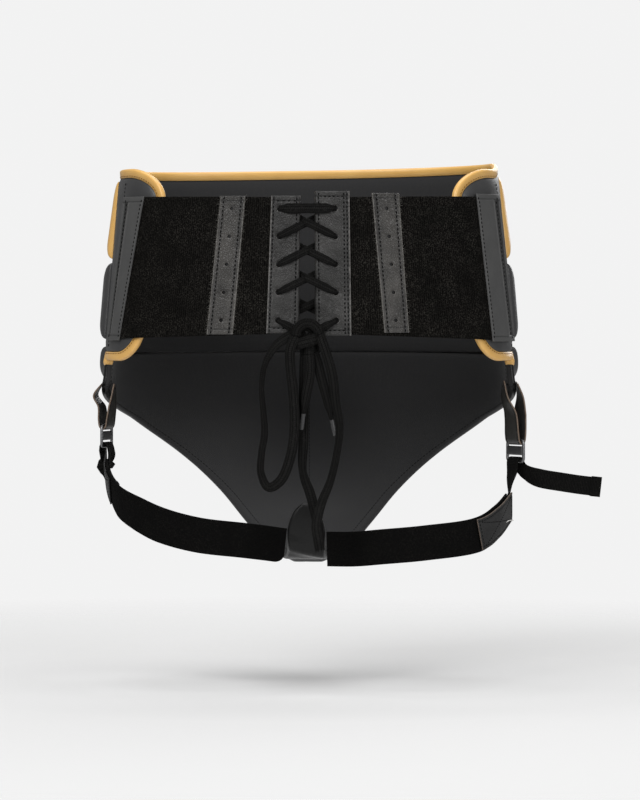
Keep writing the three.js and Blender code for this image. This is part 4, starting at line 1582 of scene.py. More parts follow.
@dataclass
class Lacing:
    """The lace through the eyelets, its knot, its two bow loops and its two ends."""

    waist: Waist
    shop: Workshop
    width: float = 0.0088
    thick: float = 0.0021
    strand: float = 0.0068
    eyelet_width: float = 0.0047
    eyelet_thick: float = 0.003
    step: float = 0.0014
    panel_outside: float = 0.0037
    panel_inside: float = -0.0016
    lie: float = 0.0013
    bend: float = 0.003
    eyelets: Eyelets = Eyelets()
    crossing: Pair = (0.005, -0.0073)
    crossing_over: float = 0.0029
    crossing_under: float = -0.0008
    crossing_behind: float = -0.0072
    bar_ends: tuple[Row, ...] = ((-0.0091, -0.117, -0.057), (0.0061, -0.117, -0.0572))
    order: Sequence[tuple[int, Side, Face]] = (
        (5, Side.LEFT, Face.INNER), (4, Side.RIGHT, Face.OUTER), (3, Side.LEFT, Face.OUTER),
        (2, Side.RIGHT, Face.OUTER), (1, Side.LEFT, Face.OUTER), (1, Side.RIGHT, Face.INNER),
        (2, Side.LEFT, Face.INNER), (3, Side.RIGHT, Face.INNER), (4, Side.LEFT, Face.INNER),
        (5, Side.RIGHT, Face.OUTER))
    cord: float = 0.008
    tip_length: float = 0.015
    tip_radius: float = 0.0017
    tip_profile: Table = (
        (0.0, 0.92), (0.06, 1.0), (0.3, 0.96), (0.34, 0.9), (0.4, 0.96), (0.9, 0.92), (1.0, 0.7))
    eyelet_ease: Pair = (0.001, 0.0085)
    top_bar: Pair = (0.043, 0.048)

    loop_left: Sequence[Row] = (
        (-0.0124, -0.1186, -0.06, 0), (-0.0183, -0.1186, -0.062, 10), (-0.0296, -0.1188, -0.071, 40),
        (-0.0383, -0.119, -0.087, 62), (-0.0409, -0.1192, -0.106, 66), (-0.0392, -0.1194, -0.129, 58),
        (-0.0383, -0.1196, -0.146, 50), (-0.0409, -0.1198, -0.163, 52), (-0.0414, -0.1202, -0.181, 48),
        (-0.0348, -0.1208, -0.193, 30), (-0.0244, -0.1212, -0.187, 10), (-0.0157, -0.1216, -0.166, 0),
        (-0.0122, -0.1218, -0.14, 0), (-0.0131, -0.1219, -0.114, 0), (-0.0157, -0.1219, -0.089, 0),
        (-0.0162, -0.1219, -0.075, 0), (-0.0136, -0.1218, -0.066, 0), (-0.011, -0.1217, -0.0614, 0))
    loop_right: Sequence[Row] = (
        (0.0096, -0.1202, -0.06, 0), (0.0146, -0.1212, -0.074, 0), (0.0205, -0.1214, -0.095, 5),
        (0.0235, -0.1215, -0.1196, 25), (0.027, -0.1215, -0.1396, 45), (0.0252, -0.1214, -0.1596, 50),
        (0.0192, -0.1212, -0.1866, 45), (0.0104, -0.1218, -0.209, 25), (0.0068, -0.1246, -0.2265, 8),
        (0.0084, -0.126, -0.2385, 0), (0.0095, -0.1235, -0.2455, 0), (0.0098, -0.1172, -0.2482, 0),
        (0.0097, -0.1108, -0.2455, 0), (0.0092, -0.1083, -0.2385, 0), (0.0076, -0.1096, -0.225, 0),
        (0.0017, -0.1124, -0.2, 20), (-0.005, -0.1138, -0.18, 55),
        (-0.0045, -0.114, -0.152, 20), (-0.0044, -0.114, -0.131, 20), (-0.004, -0.1142, -0.105, 10),
        (-0.0036, -0.1148, -0.088, 0), (-0.0032, -0.1152, -0.0776, 0))
    end_middle: Sequence[Row] = (
        (0.0004, -0.1186, -0.0774, 0), (0.0012, -0.1187, -0.088, 0), (0.0002, -0.1188, -0.1, 10),
        (-0.0024, -0.1188, -0.114, 20), (-0.0044, -0.1188, -0.129, 30))
    end_right: Sequence[Row] = (
        (0.0048, -0.1154, -0.0754, 0), (0.0076, -0.1156, -0.084, 0), (0.0106, -0.1164, -0.096, 10),
        (0.0144, -0.117, -0.11, 20), (0.0176, -0.1172, -0.122, 30), (0.0202, -0.1172, -0.1344, 40))
    end_ease: float = 0.014
    knot_arch: Sequence[Row] = (
        (-0.011, -0.1217, -0.0614, 0), (-0.0098, -0.123, -0.0555, 0), (-0.004, -0.1241, -0.0505, 0),
        (0.003, -0.1239, -0.0508, 0), (0.008, -0.1226, -0.0555, 0), (0.0096, -0.1202, -0.06, 0))
    knot_inner_arch: Sequence[Row] = (
        (-0.0124, -0.1186, -0.06, 0), (-0.0095, -0.1196, -0.055, 0), (-0.003, -0.1204, -0.0525, 0),
        (0.003, -0.1198, -0.055, 0), (0.0048, -0.1154, -0.0625, 0), (0.0048, -0.1154, -0.0754, 0))
    knot_left_bar: Sequence[Row] = (
        (-0.0091, -0.117, -0.057, 0), (-0.006, -0.1178, -0.0605, 0), (-0.0035, -0.1172, -0.0665, 0),
        (-0.0032, -0.1152, -0.0776, 0))
    knot_right_bar: Sequence[Row] = (
        (0.0061, -0.117, -0.0572, 0), (0.003, -0.1186, -0.0605, 0), (0.0008, -0.119, -0.067, 0),
        (0.0004, -0.1186, -0.0774, 0))

    def build(self) -> None:
        """Build every stretch of the lace."""
        self.build_lacing()
        self.build_knot()
        self.build_loop("bow_loop_left", self.loop_left)
        self.build_loop("bow_loop_right", self.loop_right)
        self.build_end("middle", self.end_middle)
        self.build_end("right", self.end_right)

    @staticmethod
    def section() -> list[Pair]:
        """Return the lace's flat section with its lengthwise ridges."""
        return oval(56, power=3.0, lobes=14, lobe=0.09)

    def eyelet(self, row: int, side: Side) -> Vector:
        """Return an eyelet's arc and height as a flat vector."""
        return Vector((self.eyelets.arc(side), self.eyelets.height(row - 1)))

    def face_level(self, face: Face) -> float:
        """Return the lace's distance outwards on a face of the panels."""
        return (self.panel_outside if face is Face.OUTER else self.panel_inside) + face.value * self.lie

    def eyelet_bend(self, eyelet: Vector, face: Face, towards: Vector) -> list[Vector]:
        """Bend the lace from an eyelet's bore to a face.

        Args:
            eyelet: The eyelet's arc and height.
            face: The face of the panel.
            towards: The flat direction in which it leaves.

        Returns:
            Places as arc, height and distance outwards, from the bore on.
        """
        places = []
        for share in (0.5, 1.0):
            turn = share * 0.5 * math.pi
            flat = eyelet + towards * (self.bend * (1 - math.cos(turn)))
            depth = self.face_level(face) - face.value * self.bend * (1 - math.sin(turn))
            places.append(Vector((flat.x, flat.y, depth)))
        return places

    def cross(self, start: Vector, end: Vector, leaves: Face, arrives: Face) -> list[Vector]:
        """Carry the lace over the gap between the panels.

        Args:
            start: The eyelet that it leaves.
            end: The eyelet that it goes to.
            leaves: The face that it leaves on.
            arrives: The face that it arrives on.

        Returns:
            Places as arc, height and distance outwards.
        """
        right, left = self.crossing
        middle = (right + left) / 2

        def at(arc: float, depth: float) -> Vector:
            """Return the place of the straight way between the eyelets at an arc."""
            share = (arc - start.x) / (end.x - start.x)
            return Vector((arc, lerp(start.y, end.y, share), depth))

        if leaves is arrives:
            down = leaves is Face.INNER and start.x < end.x and start.y > end.y
            return [at(middle, self.crossing_behind)] if down else []
        first, last = (right, left) if start.x > end.x else (left, right)
        depth = self.crossing_over if leaves is Face.OUTER else self.crossing_under
        return [at(first, self.face_level(leaves)), at(middle, depth), at(last, self.face_level(arrives))]

    def lacing_places(self) -> list[Vector]:
        """List the lace's way through all the eyelets.

        Returns:
            Places as arc, height and distance outwards.
        """
        bore = (self.panel_inside + self.panel_outside) / 2
        stops = [(self.eyelet(row, side), leaves) for row, side, leaves in self.order]
        first, last = (Vector((end[0], end[2])) for end in self.bar_ends)
        towards = (first - stops[0][0]).normalized()
        places = self.eyelet_bend(stops[0][0], Face.OUTER, towards)[::-1]
        for number, (stop, leaves) in enumerate(stops):
            places.append(Vector((stop.x, stop.y, bore)))
            following = stops[number + 1] if number + 1 < len(stops) else None
            goal = following[0] if following else last
            towards = (goal - stop).normalized()
            places.extend(self.eyelet_bend(stop, leaves, towards))
            if following:
                arrives = following[1].other
                places.extend(self.cross(stop, goal, leaves, arrives))
                places.extend(self.eyelet_bend(goal, arrives, -towards)[::-1])
        return places

    def build_lacing(self) -> None:
        """Build the lace where the eyelets hold it, flat between them and drawn in at each."""
        places = self.lacing_places()
        points = [self.waist.at(*place) for place in places]
        route = Route([self.bar_ends[0], *points, self.bar_ends[1]])
        path, _ = route.even(self.step)
        eyelets = [self.eyelet(row, side) for row, side, _ in self.order]
        sizes, facing = [], []
        wide = Vector((0, 0, 1))
        for i, point in enumerate(path):
            flat = Vector((point.x, point.z))
            away = min((flat - eyelet).length for eyelet in eyelets)
            open_share = smooth_step(away, *self.eyelet_ease)
            widest = lerp(self.strand, self.width, smooth_step(point.z, *self.top_bar))
            sizes.append((lerp(self.eyelet_width, widest, open_share),
                          lerp(self.eyelet_thick, self.thick, open_share)))
            tangent = (path[min(i + 1, len(path) - 1)] - path[max(i - 1, 0)]).normalized()
            out = self.waist.outwards(point.x, point.z)
            if abs(tangent.dot(out)) < 0.75:
                across = tangent.cross(out).normalized()
                wide = across if across.dot(wide) > 0 else -across
            facing.append(wide.cross(tangent).normalized())
        piece = Sweep("lacing_braid", path, facing, self.section(), sizes).build()
        self.shop.dress(piece, Slot.LACE, [Look.LACE], ["lacing"])

    def ribbon(self, name: str, places: Sequence[Row], ease: float = 0.0) -> tuple[Object, list[Vector]]:
        """Build a hanging stretch of flat lace.

        Args:
            name: The object's name.
            places: X, Y, Z and the turn of the face in degrees, for each place.
            ease: How far from its far end the lace narrows into its tip, or 0.

        Returns:
            The object and its middle line.
        """
        route = Route([place[:3] for place in places])
        path, numbers = route.even(self.step)
        turns = [(i, math.radians(place[3])) for i, place in enumerate(places)]
        facing = carried_frames(path, BACKWARDS, [from_table(turns, number) for number in numbers])
        total = self.step * (len(path) - 1)
        sizes = []
        for i in range(len(path)):
            left = total - i * self.step
            share = smooth_step(left, 0.0, ease) if ease else 1.0
            sizes.append((lerp(2 * self.tip_radius, self.width, share),
                          lerp(2 * self.tip_radius, self.thick, share)))
        return Sweep(name, path, facing, self.section(), sizes).build(), path

    def build_loop(self, node: str, places: Sequence[Row]) -> None:
        """Build one loop of the bow, from the knot and back to it.

        Args:
            node: The solid that it stands for.
            places: Its places and turns.
        """
        piece, path = self.ribbon(f"{node}_braid", places)
        self.shop.dress(piece, Slot.LACE, [Look.LACE], [node])

    def build_end(self, word: str, places: Sequence[Row]) -> None:
        """Build one hanging end of the lace and its tip.

        Args:
            word: Which end it is.
            places: Its places and turns.
        """
        piece, path = self.ribbon(f"lace_end_{word}_braid", places, self.end_ease)
        self.shop.dress(piece, Slot.LACE, [Look.LACE], [f"lace_end_{word}"])
        tip = self.build_tip(word, path)

    def build_tip(self, word: str, path: Sequence[Vector]) -> Object:
        """Build the crimped plastic tip on an end of the lace.

        Args:
            word: Which end it is on.
            path: The end's middle line.

        Returns:
            The tip.
        """
        along = (path[-1] - path[-4]).normalized()
        start = path[-1] - along * 0.001
        steps = 16
        middle = [start + along * (self.tip_length * i / steps) for i in range(steps + 1)]
        sizes = []
        for i in range(steps + 1):
            size = 2 * self.tip_radius * from_table(self.tip_profile, i / steps)
            sizes.append((1.12 * size, 0.88 * size))
        facing = [BACKWARDS] * (steps + 1)
        piece = Sweep(f"lace_tip_{word}_crimp", middle, facing, oval(16), sizes).build()
        return self.shop.dress(piece, Slot.TIP, [Look.TIP], [f"lace_tip_{word}"])

    def build_knot(self) -> None:
        """Build the knot: the arch over its top, the wrap round its waist and the strands that go in."""
        strands = {"arch": self.knot_arch, "inner_arch": self.knot_inner_arch,
                   "left_bar": self.knot_left_bar, "right_bar": self.knot_right_bar}
        parts = [self.ribbon(name, places)[0] for name, places in strands.items()]
        parts.append(self.knot_wrap())
        piece = join("lace_knot_braid", parts)
        self.shop.dress(piece, Slot.LACE, [Look.LACE], ["lace_knot"])

    def knot_wrap(self) -> Object:
        """Build the turn of lace round the knot's waist.

        Returns:
            A closed ring of flat lace.
        """
        middle = Vector((-0.0015, -0.1178, -0.066))
        half_width, half_depth, slant = 0.0085, 0.0062, 0.3
        count = 48
        path, facing = [], []
        for i in range(count):
            turn = TURN * i / count
            out = Vector((math.cos(turn) * half_depth, math.sin(turn) * half_width, 0)).normalized()
            path.append(middle + Vector((half_width * math.cos(turn), half_depth * math.sin(turn),
                                         slant * half_width * math.cos(turn))))
            facing.append(out)
        sizes = [(1.1 * self.width, 1.5 * self.thick)] * count
        return Sweep("wrap", path, facing, self.section(), sizes, looped=True).build()


# Back belt


@dataclass(frozen=True)
class BeltRow:
    """One flat piece of the back belt, by its arcs from the centre back and its heights."""

    side: Side
    inner_top: float
    inner_bottom: float
    outer_top: float
    outer_bottom: float
    top: float
    bottom: float
    top_far: Optional[float] = None
    bottom_far: Optional[float] = None

    @property
    def width(self) -> float:
        """The mean width."""
        return (self.outer_top + self.outer_bottom - self.inner_top - self.inner_bottom) / 2

    @property
    def height(self) -> float:
        """The height at the inner edge."""
        return self.top - self.bottom

    def arc_and_height(self, away: float, up: float) -> Pair:
        """Find a place on the row.

        Args:
            away: The share of the way from the inner edge to the outer.
            up: The share of the way from the bottom to the top.

        Returns:
            The arc, with the side's sign, and the height.
        """
        top_far = self.top if self.top_far is None else self.top_far
        bottom_far = self.bottom if self.bottom_far is None else self.bottom_far
        inner = lerp(self.inner_bottom, self.inner_top, up)
        outer = lerp(self.outer_bottom, self.outer_top, up)
        z = lerp(lerp(self.bottom, bottom_far, away), lerp(self.top, top_far, away), up)
        return self.side.value * lerp(inner, outer, away), z

    def shares(self, arc: float, z: float) -> Pair:
        """Find the shares away and up at an arc and a height.

        Args:
            arc: The arc, with the side's sign.
            z: The height.

        Returns:
            The two shares.
        """
        away, up = 0.5, 0.5
        for _ in range(12):
            here, high = self.arc_and_height(away, up)
            away += (arc - here) * self.side.value / self.width
            up += (z - high) / self.height
        return away, up

    def surface(self, waist: Waist) -> Surface:
        """Lay the row on the waist.

        Args:
            waist: The oval that the guard lies on.

        Returns:
            The row's surface, which runs along +arc.
        """

        def place(along: float, up: float, offset: float) -> Vector:
            """Find a point of the row.

            Args:
                along: The share along the sheet.
                up: The share across it.
                offset: The distance outwards.

            Returns:
                The point.
            """
            away = along if self.side is Side.RIGHT else 1 - along
            arc, z = self.arc_and_height(away, up)
            return waist.at(arc, z, offset)

        return place

    def along(self, from_inner: float) -> float:
        """Return the metres along the row at a distance from its inner edge, or the other way round."""
        return from_inner if self.side is Side.RIGHT else self.width - from_inner


@dataclass
class BackBelt:
    """The elastic halves with the leather strips and lacing panels that are sewn to them."""

    waist: Waist
    shop: Workshop
    elastic_thick: float = 0.002
    rib: float = 0.0015
    rib_depth: float = 0.00016
    strip_inside: float = 0.0023
    strip_outside: float = 0.0037
    panel_thick: float = 0.0013
    panel_out: float = 0.00305
    panel_in: float = -0.00095
    empty_eyelet: float = 0.0017
    laced_eyelet: float = 0.0025
    eyelets: Eyelets = Eyelets()
    hem: float = 0.0045
    stitch: StitchSizes = StitchSizes(pitch=0.0036, length=0.0026, width=0.0014, height=0.0008)
    elastics: Sequence[BeltRow] = (
        BeltRow(Side.LEFT, 0.0288, 0.031, 0.185, 0.196, 0.06, -0.0595, 0.0615, -0.0645),
        BeltRow(Side.RIGHT, 0.0318, 0.0314, 0.196, 0.208, 0.06, -0.06, 0.062, -0.0665))
    panels: Sequence[BeltRow] = (
        BeltRow(Side.LEFT, 0.0078, 0.0088, 0.0333, 0.0358, 0.061, -0.059),
        BeltRow(Side.RIGHT, 0.006, 0.006, 0.0365, 0.036, 0.065, -0.061))
    strips: Sequence[BeltRow] = (
        BeltRow(Side.LEFT, 0.0566, 0.0643, 0.079, 0.0868, 0.061, -0.06),
        BeltRow(Side.RIGHT, 0.0566, 0.0643, 0.0811, 0.0854, 0.0635, -0.0585))
    ends: Sequence[BeltRow] = (
        BeltRow(Side.LEFT, 0.1563, 0.1759, 0.1865, 0.1976, 0.0615, -0.0655),
        BeltRow(Side.RIGHT, 0.1601, 0.1681, 0.198, 0.21, 0.064, -0.0665))

    def build(self) -> None:
        """Build both halves of the belt."""
        for elastic, strip, panel, end in zip(self.elastics, self.strips, self.panels, self.ends):
            self.build_elastic(elastic, strip)
            self.build_eyelet_strip(strip)
            self.build_panel(panel)
            self.build_end_strip(end)

    def strip_eyelets(self, strip: BeltRow) -> list[Pair]:
        """Return the arc and the height of each empty eyelet of a strip."""
        heights = [self.eyelets.height(row) for row in range(self.eyelets.rows)]
        return [strip.arc_and_height(0.5, (z - strip.bottom) / strip.height) for z in heights]

    def holes(self, row: BeltRow, eyelets: Table, radius: float) -> list[Hole]:
        """Return the holes of eyelets, given by their arcs and heights, in metres along and up a row."""
        shares = [row.shares(*eyelet) for eyelet in eyelets]
        return [Hole(row.along(away * row.width), up * row.height, radius) for away, up in shares]

    def build_elastic(self, row: BeltRow, strip: BeltRow) -> None:
        """Build one ribbed elastic half.

        Args:
            row: Its place.
            strip: The eyelet strip on it, whose holes go through it.
        """
        def ribs(along: float, _up: float) -> float:
            """Return the height of the upright ribs."""
            return self.rib_depth * (abs(math.sin(math.pi * along / self.rib)) - 1)

        slab = Slab(f"belt_elastic_{row.side.word}", row.surface(self.waist), row.width, row.height, 0.0,
                    self.elastic_thick, step=self.rib / 4, rise=0.004, rim=0.0006, relief=ribs,
                    holes=self.holes(row, self.strip_eyelets(strip), self.empty_eyelet))
        piece = slab.build()
        self.shop.dress(piece, Slot.ELASTIC, [Look.ELASTIC, Look.ELASTIC], [f"back_elastic_{row.side.word}"])

    def build_eyelet_strip(self, row: BeltRow) -> None:
        """Build one eyelet strip with its stitch rows and its frayed edges.

        Args:
            row: Its place.
        """
        inset, hem, margin, fringe = 0.0034, self.hem, 0.002, 0.001
        word = row.side.word
        creases = [Crease(0.0003, 0.0011, along=inset), Crease(0.0003, 0.0011, along=row.width - inset),
                   Crease(0.0003, 0.0007, up=hem), Crease(0.0003, 0.0007, up=row.height - hem)]

        def hide(along: float, up: float) -> float:
            """Return the slow unevenness of soft leather, lifted a little between the seams."""
            waves = math.sin(210 * along + 90 * up) * math.sin(130 * up - 80 * along)
            return 0.00012 * waves + 0.00018 * bell(2 * along / row.width - 1)

        slab = Slab(f"pebbled_strip_{word}", row.surface(self.waist), row.width, row.height,
                    self.strip_inside, self.strip_outside, step=0.0009, rise=0.0012, rim=0.0004, relief=hide,
                    creases=creases, holes=self.holes(row, self.strip_eyelets(row), self.empty_eyelet),
                    edge_reach=0.0013, raw_ends=False)
        piece = slab.build()
        self.shop.dress(piece, Slot.BLACK, [Look.EYELET, Look.EYELET], [f"eyelet_strip_{word}"])
        seams = [slab.seam((along, margin), (along, row.height - margin))
                 for along in (inset, row.width - inset)]
        self.shop.sew(f"eyelet_strip_stitches_{word}", seams, self.stitch)
        edges = []
        for along, outwards in ((0.0002, -1), (row.width - 0.0002, 1)):
            edge, further = (slab.seam((place, fringe), (place, row.height - fringe))
                             for place in (along, along + 0.0001))
            edges.append([(a[0], (outwards * (b[0] - a[0]).normalized() + 0.5 * a[1]).normalized())
                          for a, b in zip(edge, further)])
        sizes = FraySizes(pitch=0.0008, length=0.0036, thick=0.0002, seed=5 + row.side.value)
        self.shop.sew(f"eyelet_strip_fibres_{word}", edges, sizes, Look.FIBRE)

    def build_panel(self, row: BeltRow) -> None:
        """Build one lacing panel as a leather sheet folded round the gap's edge.

        Args:
            row: Its place.
        """
        bend = (self.panel_out - self.panel_in) / 2
        middle = (self.panel_out + self.panel_in) / 2
        leaf = row.width - bend
        total = 2 * leaf + math.pi * bend
        word = row.side.word

        def fold(along: float, up: float, offset: float) -> Vector:
            """Find a point of the fold, which runs from the hidden leaf to the outer one.

            Args:
                along: The share along the sheet.
                up: The share across it.
                offset: The distance outwards.

            Returns:
                The point.
            """
            run = along * total if row.side is Side.RIGHT else (1 - along) * total
            turn = clamp((run - leaf) / bend, 0.0, math.pi)
            straight = max(leaf - run, run - leaf - math.pi * bend, 0.0)
            away = bend + straight - (bend + offset) * math.sin(turn)
            arc, z = row.arc_and_height(away / row.width, up)
            return self.waist.at(arc, z, middle - (bend + offset) * math.cos(turn))

        def along_at(from_fold: float) -> float:
            """Return the metres along the sheet at a distance of the outer leaf from the fold's edge."""
            run = leaf + math.pi * bend + from_fold - bend
            return run if row.side is Side.RIGHT else total - run

        def hide(along: float, up: float) -> float:
            """Return the slow unevenness of soft leather."""
            waves = math.sin(190 * along + 60 * up) * math.sin(150 * up - 95 * along)
            return 0.00016 * waves + 0.00012 * math.sin(420 * up + 260 * along)

        near, far, hem, margin = 0.0028, row.width - 0.0024, self.hem, 0.0025
        creases = [Crease(0.0003, 0.0008, along=along_at(near)), Crease(0.0003, 0.0008, along=along_at(far)),
                   Crease(0.0003, 0.0008, up=hem), Crease(0.00035, 0.0007, up=row.height - hem)]
        holes = []
        for number in range(self.eyelets.rows):
            away, up = row.shares(self.eyelets.arc(row.side), self.eyelets.height(number))
            outer, up = along_at(away * row.width), up * row.height
            holes += [Hole(along, up, self.laced_eyelet) for along in (outer, total - outer)]
        half = self.panel_thick / 2
        slab = Slab(f"folded_panel_{word}", fold, total, row.height, -half, half, step=0.001, rise=0.0014,
                    rim=0.0005, relief=hide, creases=creases, holes=holes, edge_reach=0.0022, raw_ends=False)
        self.shop.dress(slab.build(), Slot.BLACK, [Look.PANEL, Look.PANEL], [f"lacing_panel_{word}"])
        lines = [near, far, far - 0.0028] if row.side is Side.RIGHT else [near, far]
        seams = [slab.seam((along_at(line), margin), (along_at(line), row.height - margin)) for line in lines]
        seams += [slab.seam((along_at(near + 0.002), up), (along_at(far - 0.004), up))
                  for up in (hem, row.height - hem)]
        self.shop.sew(f"lacing_panel_stitches_{word}", seams, self.stitch)

    def build_end_strip(self, row: BeltRow) -> None:
        """Build the strip that sews the elastic to the wing: a smooth face, a beaded fold and a sewn channel.

        Args:
            row: Its place.
        """
        word, hem = row.side.word, self.hem
        fold_at, seam_at, bead, channel = 0.6 * row.width, 0.8 * row.width, 0.0009, 0.0011

        def between(up: float) -> float:
            """Return 1 between the two hems and 0 on them."""
            return smooth_step(up, hem, hem + 0.001) * (1 - smooth_step(up, row.height - hem - 0.001,
                                                                        row.height - hem))

        def sunk(along: float, up: float) -> float:
            """Find how deep the channel is.

            Args:
                along: The metres along the strip.
                up: The metres up it.

            Returns:
                The share of its full depth.
            """
            from_inner = row.along(along)
            into = smooth_step(from_inner, fold_at + 0.0005, fold_at + 0.0017)
            return into * (1 - smooth_step(from_inner, row.width - 0.0036, row.width - 0.0026)) * between(up)

        def steps(along: float, up: float) -> float:
            """Find the relief across the strip, from the elastic outwards.

            Args:
                along: The metres along the strip.
                up: The metres up it.

            Returns:
                The height.
            """
            from_inner = row.along(along)
            rise = 0.0005 * (1 - smooth_step(from_inner, fold_at - 0.001, fold_at + 0.0012))
            ridge = 0.0009 * math.exp(-(((from_inner - fold_at) / bead) ** 2))
            ridge += 0.0006 * math.exp(-(((from_inner - row.width + 0.0016) / bead) ** 2))
            return (rise + ridge) * between(up) - channel * sunk(along, up)

        def dark(along: float, up: float) -> float:
            """Return the shade painted into the channel and along the two hem folds."""
            fold = max(bell((up - hem) / 0.0012), bell((row.height - hem - up) / 0.0012))
            return max(0.75 * sunk(along, up), 0.7 * fold)

        def rubbed(along: float, up: float) -> float:
            """Return the pale highlight painted along the fold's bead."""
            from_inner = row.along(along)
            return 0.75 * bell((from_inner - fold_at) / (1.4 * bead)) * between(up)

        creases = [Crease(0.0, bead, along=row.along(place)) for place in
                   (fold_at, fold_at + 0.0015, row.width - 0.0032, row.width - 0.0016)]
        creases += [Crease(0.0, 0.0006, up=hem), Crease(0.0, 0.0006, up=row.height - hem)]
        # The slab paints shade into the channel and hem folds and a pale highlight along the bead.
        slab = Slab(f"smooth_strip_{word}", row.surface(self.waist), row.width, row.height, self.strip_inside,
                    self.strip_outside, step=0.0016, rise=0.003, rim=0.0005, relief=steps, hollow=dark,
                    worn=rubbed, creases=creases, edge_reach=0.00001)
        self.shop.dress(slab.build(), Slot.BLACK, [Look.STRIP, Look.STRIP], [f"end_strip_{word}"])
        seams = [slab.seam((row.along(place), 0.004), (row.along(place), row.height - 0.004))
                 for place in (0.0016, seam_at)]
        self.shop.sew(f"end_strip_stitches_{word}", seams, self.stitch)


# Shield


@dataclass(frozen=True)
class PadRow:
    """One padded row of the band, by its heights and its thickness before it is filled."""

    node: str
    slot: Slot
    look: Look
    bottom: float
    top: float
    thick_bottom: float
    thick_top: float
    rises: bool


@dataclass
class Shield:
    """The padded band with its wings and its binding, and the padded rows."""

    waist: Waist
    shop: Workshop
    shell_inside: float = -0.0073
    shell_outside: float = -0.0003
    band_top: float = 0.08
    band_bottom: float = -0.077
    top_corner: Pair = (0.045, 0.023)
    bottom_corner: Pair = (0.024, 0.022)
    band_end: float = 0.1515
    end_slant: float = -0.121
    rise_start: float = 0.205
    rise_end: float = 0.262
    rise_middle: float = 0.0035
    rise_tilt: float = 0.0035
    binding_start: float = 0.225
    binding_half: float = 0.0021
    binding_reach: float = 0.0068
    flange: float = 0.0011
    wing_seam: float = 0.006
    wing_seam_heights: Pair = (0.073, -0.07)
    stitch: StitchSizes = StitchSizes(pitch=0.0034, length=0.0025, width=0.0008, height=0.0007)
    pad_start: float = 0.224
    pad_seat: float = -0.0006
    pad_shoulder: float = 0.012
    pad_fill: Filling = Filling()
    pads: Sequence[PadRow] = (
        PadRow("upper_pad", Slot.GOLD, Look.GOLD, 0.007, 0.077, 0.0075, 0.0035, rises=True),
        PadRow("middle_pad", Slot.BLACK, Look.PAD, -0.065, 0.004, 0.0075, 0.0075, rises=False))

    @property
    def band_length(self) -> float:
        """The band's length round the front at mid height."""
        return 2 * (self.waist.half_girth - self.band_end)

    def band_arc(self, run: float, z: float) -> float:
        """Return the arc at a distance along the band and a height."""
        start = self.band_end + self.end_slant * z
        return lerp(start, 2 * self.waist.half_girth - start, run / self.band_length)

    def band_run(self, arc: float, z: float) -> float:
        """Return the distance along the band at an arc and a height."""
        start = self.band_end + self.end_slant * z
        return self.band_length * (arc - start) / (2 * (self.waist.half_girth - start))

    def front_rise(self, arc: float) -> float:
        """Find how much the band's top rises in front.

        Args:
            arc: The distance round the waist.

        Returns:
            The height above the top of the wings.
        """
        near = min(arc, 2 * self.waist.half_girth - arc)
        share = smooth_step(near, self.rise_start, self.rise_end)
        return share * (self.rise_middle + self.rise_tilt * math.sin(self.waist.angle_at(arc)))

    def top_at(self, run: float) -> float:
        """Return the height of the band's top edge."""
        return self.band_top + self.front_rise(self.band_arc(run, 0))

    def corner_drop(self, run: float, corner: Pair) -> float:
        """Return how far an oval corner cuts the band's height."""
        away = 1 - min(run, self.band_length - run, corner[0]) / corner[0]
        return corner[1] * (1 - math.sqrt(max(1 - away**2, 0.0)))

    def band_surface(self, along: float, up: float, offset: float) -> Vector:
        """Find a point of the band.

        Args:
            along: The share along the sheet.
            up: The share across it.
            offset: The distance outwards.

        Returns:
            The point.
        """
        run = along * self.band_length
        low = self.band_bottom + self.corner_drop(run, self.bottom_corner)
        z = lerp(low, self.top_at(run) - self.corner_drop(run, self.top_corner), up)
        return self.waist.at(self.band_arc(run, z), z, offset)

    def build(self) -> None:
        """Build the shield from the band down."""
        self.build_band()
        self.build_binding()
        for row in self.pads:
            self.build_pad(row)

    def build_band(self) -> None:
        """Build the band with its wings."""
        height = self.band_top - self.band_bottom
        slab = Slab("shield_band_cover", self.band_surface, self.band_length, height, self.shell_inside,
                    self.shell_outside, step=0.004, rise=0.004, rim=0.01, square=2.2)
        piece = slab.build()
        self.shop.dress(piece, Slot.BLACK, [Look.WING, Look.LINING], ["shield_band"])
        seams = []
        for row in BackBelt.ends:
            seam = []
            for i in range(61):
                z = lerp(*self.wing_seam_heights, i / 60)
                arc = lerp(row.outer_bottom, row.outer_top, (z - row.bottom) / row.height) + self.wing_seam
                arc = arc if row.side is Side.RIGHT else 2 * self.waist.half_girth - arc
                seam.append((self.waist.at(arc, z, self.shell_outside), self.waist.outwards(arc, z)))
            seams.append(seam)
        self.shop.sew("wing_stitches", seams, self.stitch)

    def binding_places(self, shift: float) -> list[Pair]:
        """List the way round the wings and along the top edge.

        Args:
            shift: The distance outside the band's edge.

        Returns:
            The run and the height of each place.
        """
        step, turn_steps, end_steps = 0.005, 22, 26
        low = self.band_bottom - shift
        low_end, high_end = self.band_bottom + self.bottom_corner[1], self.band_top - self.top_corner[1]
        middle = self.band_length / 2
        half: list[Pair] = []

        def add_corner(corner: Pair, centre: float, first: float) -> None:
            """Add a quarter turn round a corner of the wing.

            Args:
                corner: The corner's two radii.
                centre: The height of its centre.
                first: The angle to start at.
            """
            for i in range(turn_steps + 1):
                turn = first - 0.5 * math.pi * i / turn_steps
                half.append((corner[0] + (corner[0] + shift) * math.cos(turn),
                             centre + (corner[1] + shift) * math.sin(turn)))

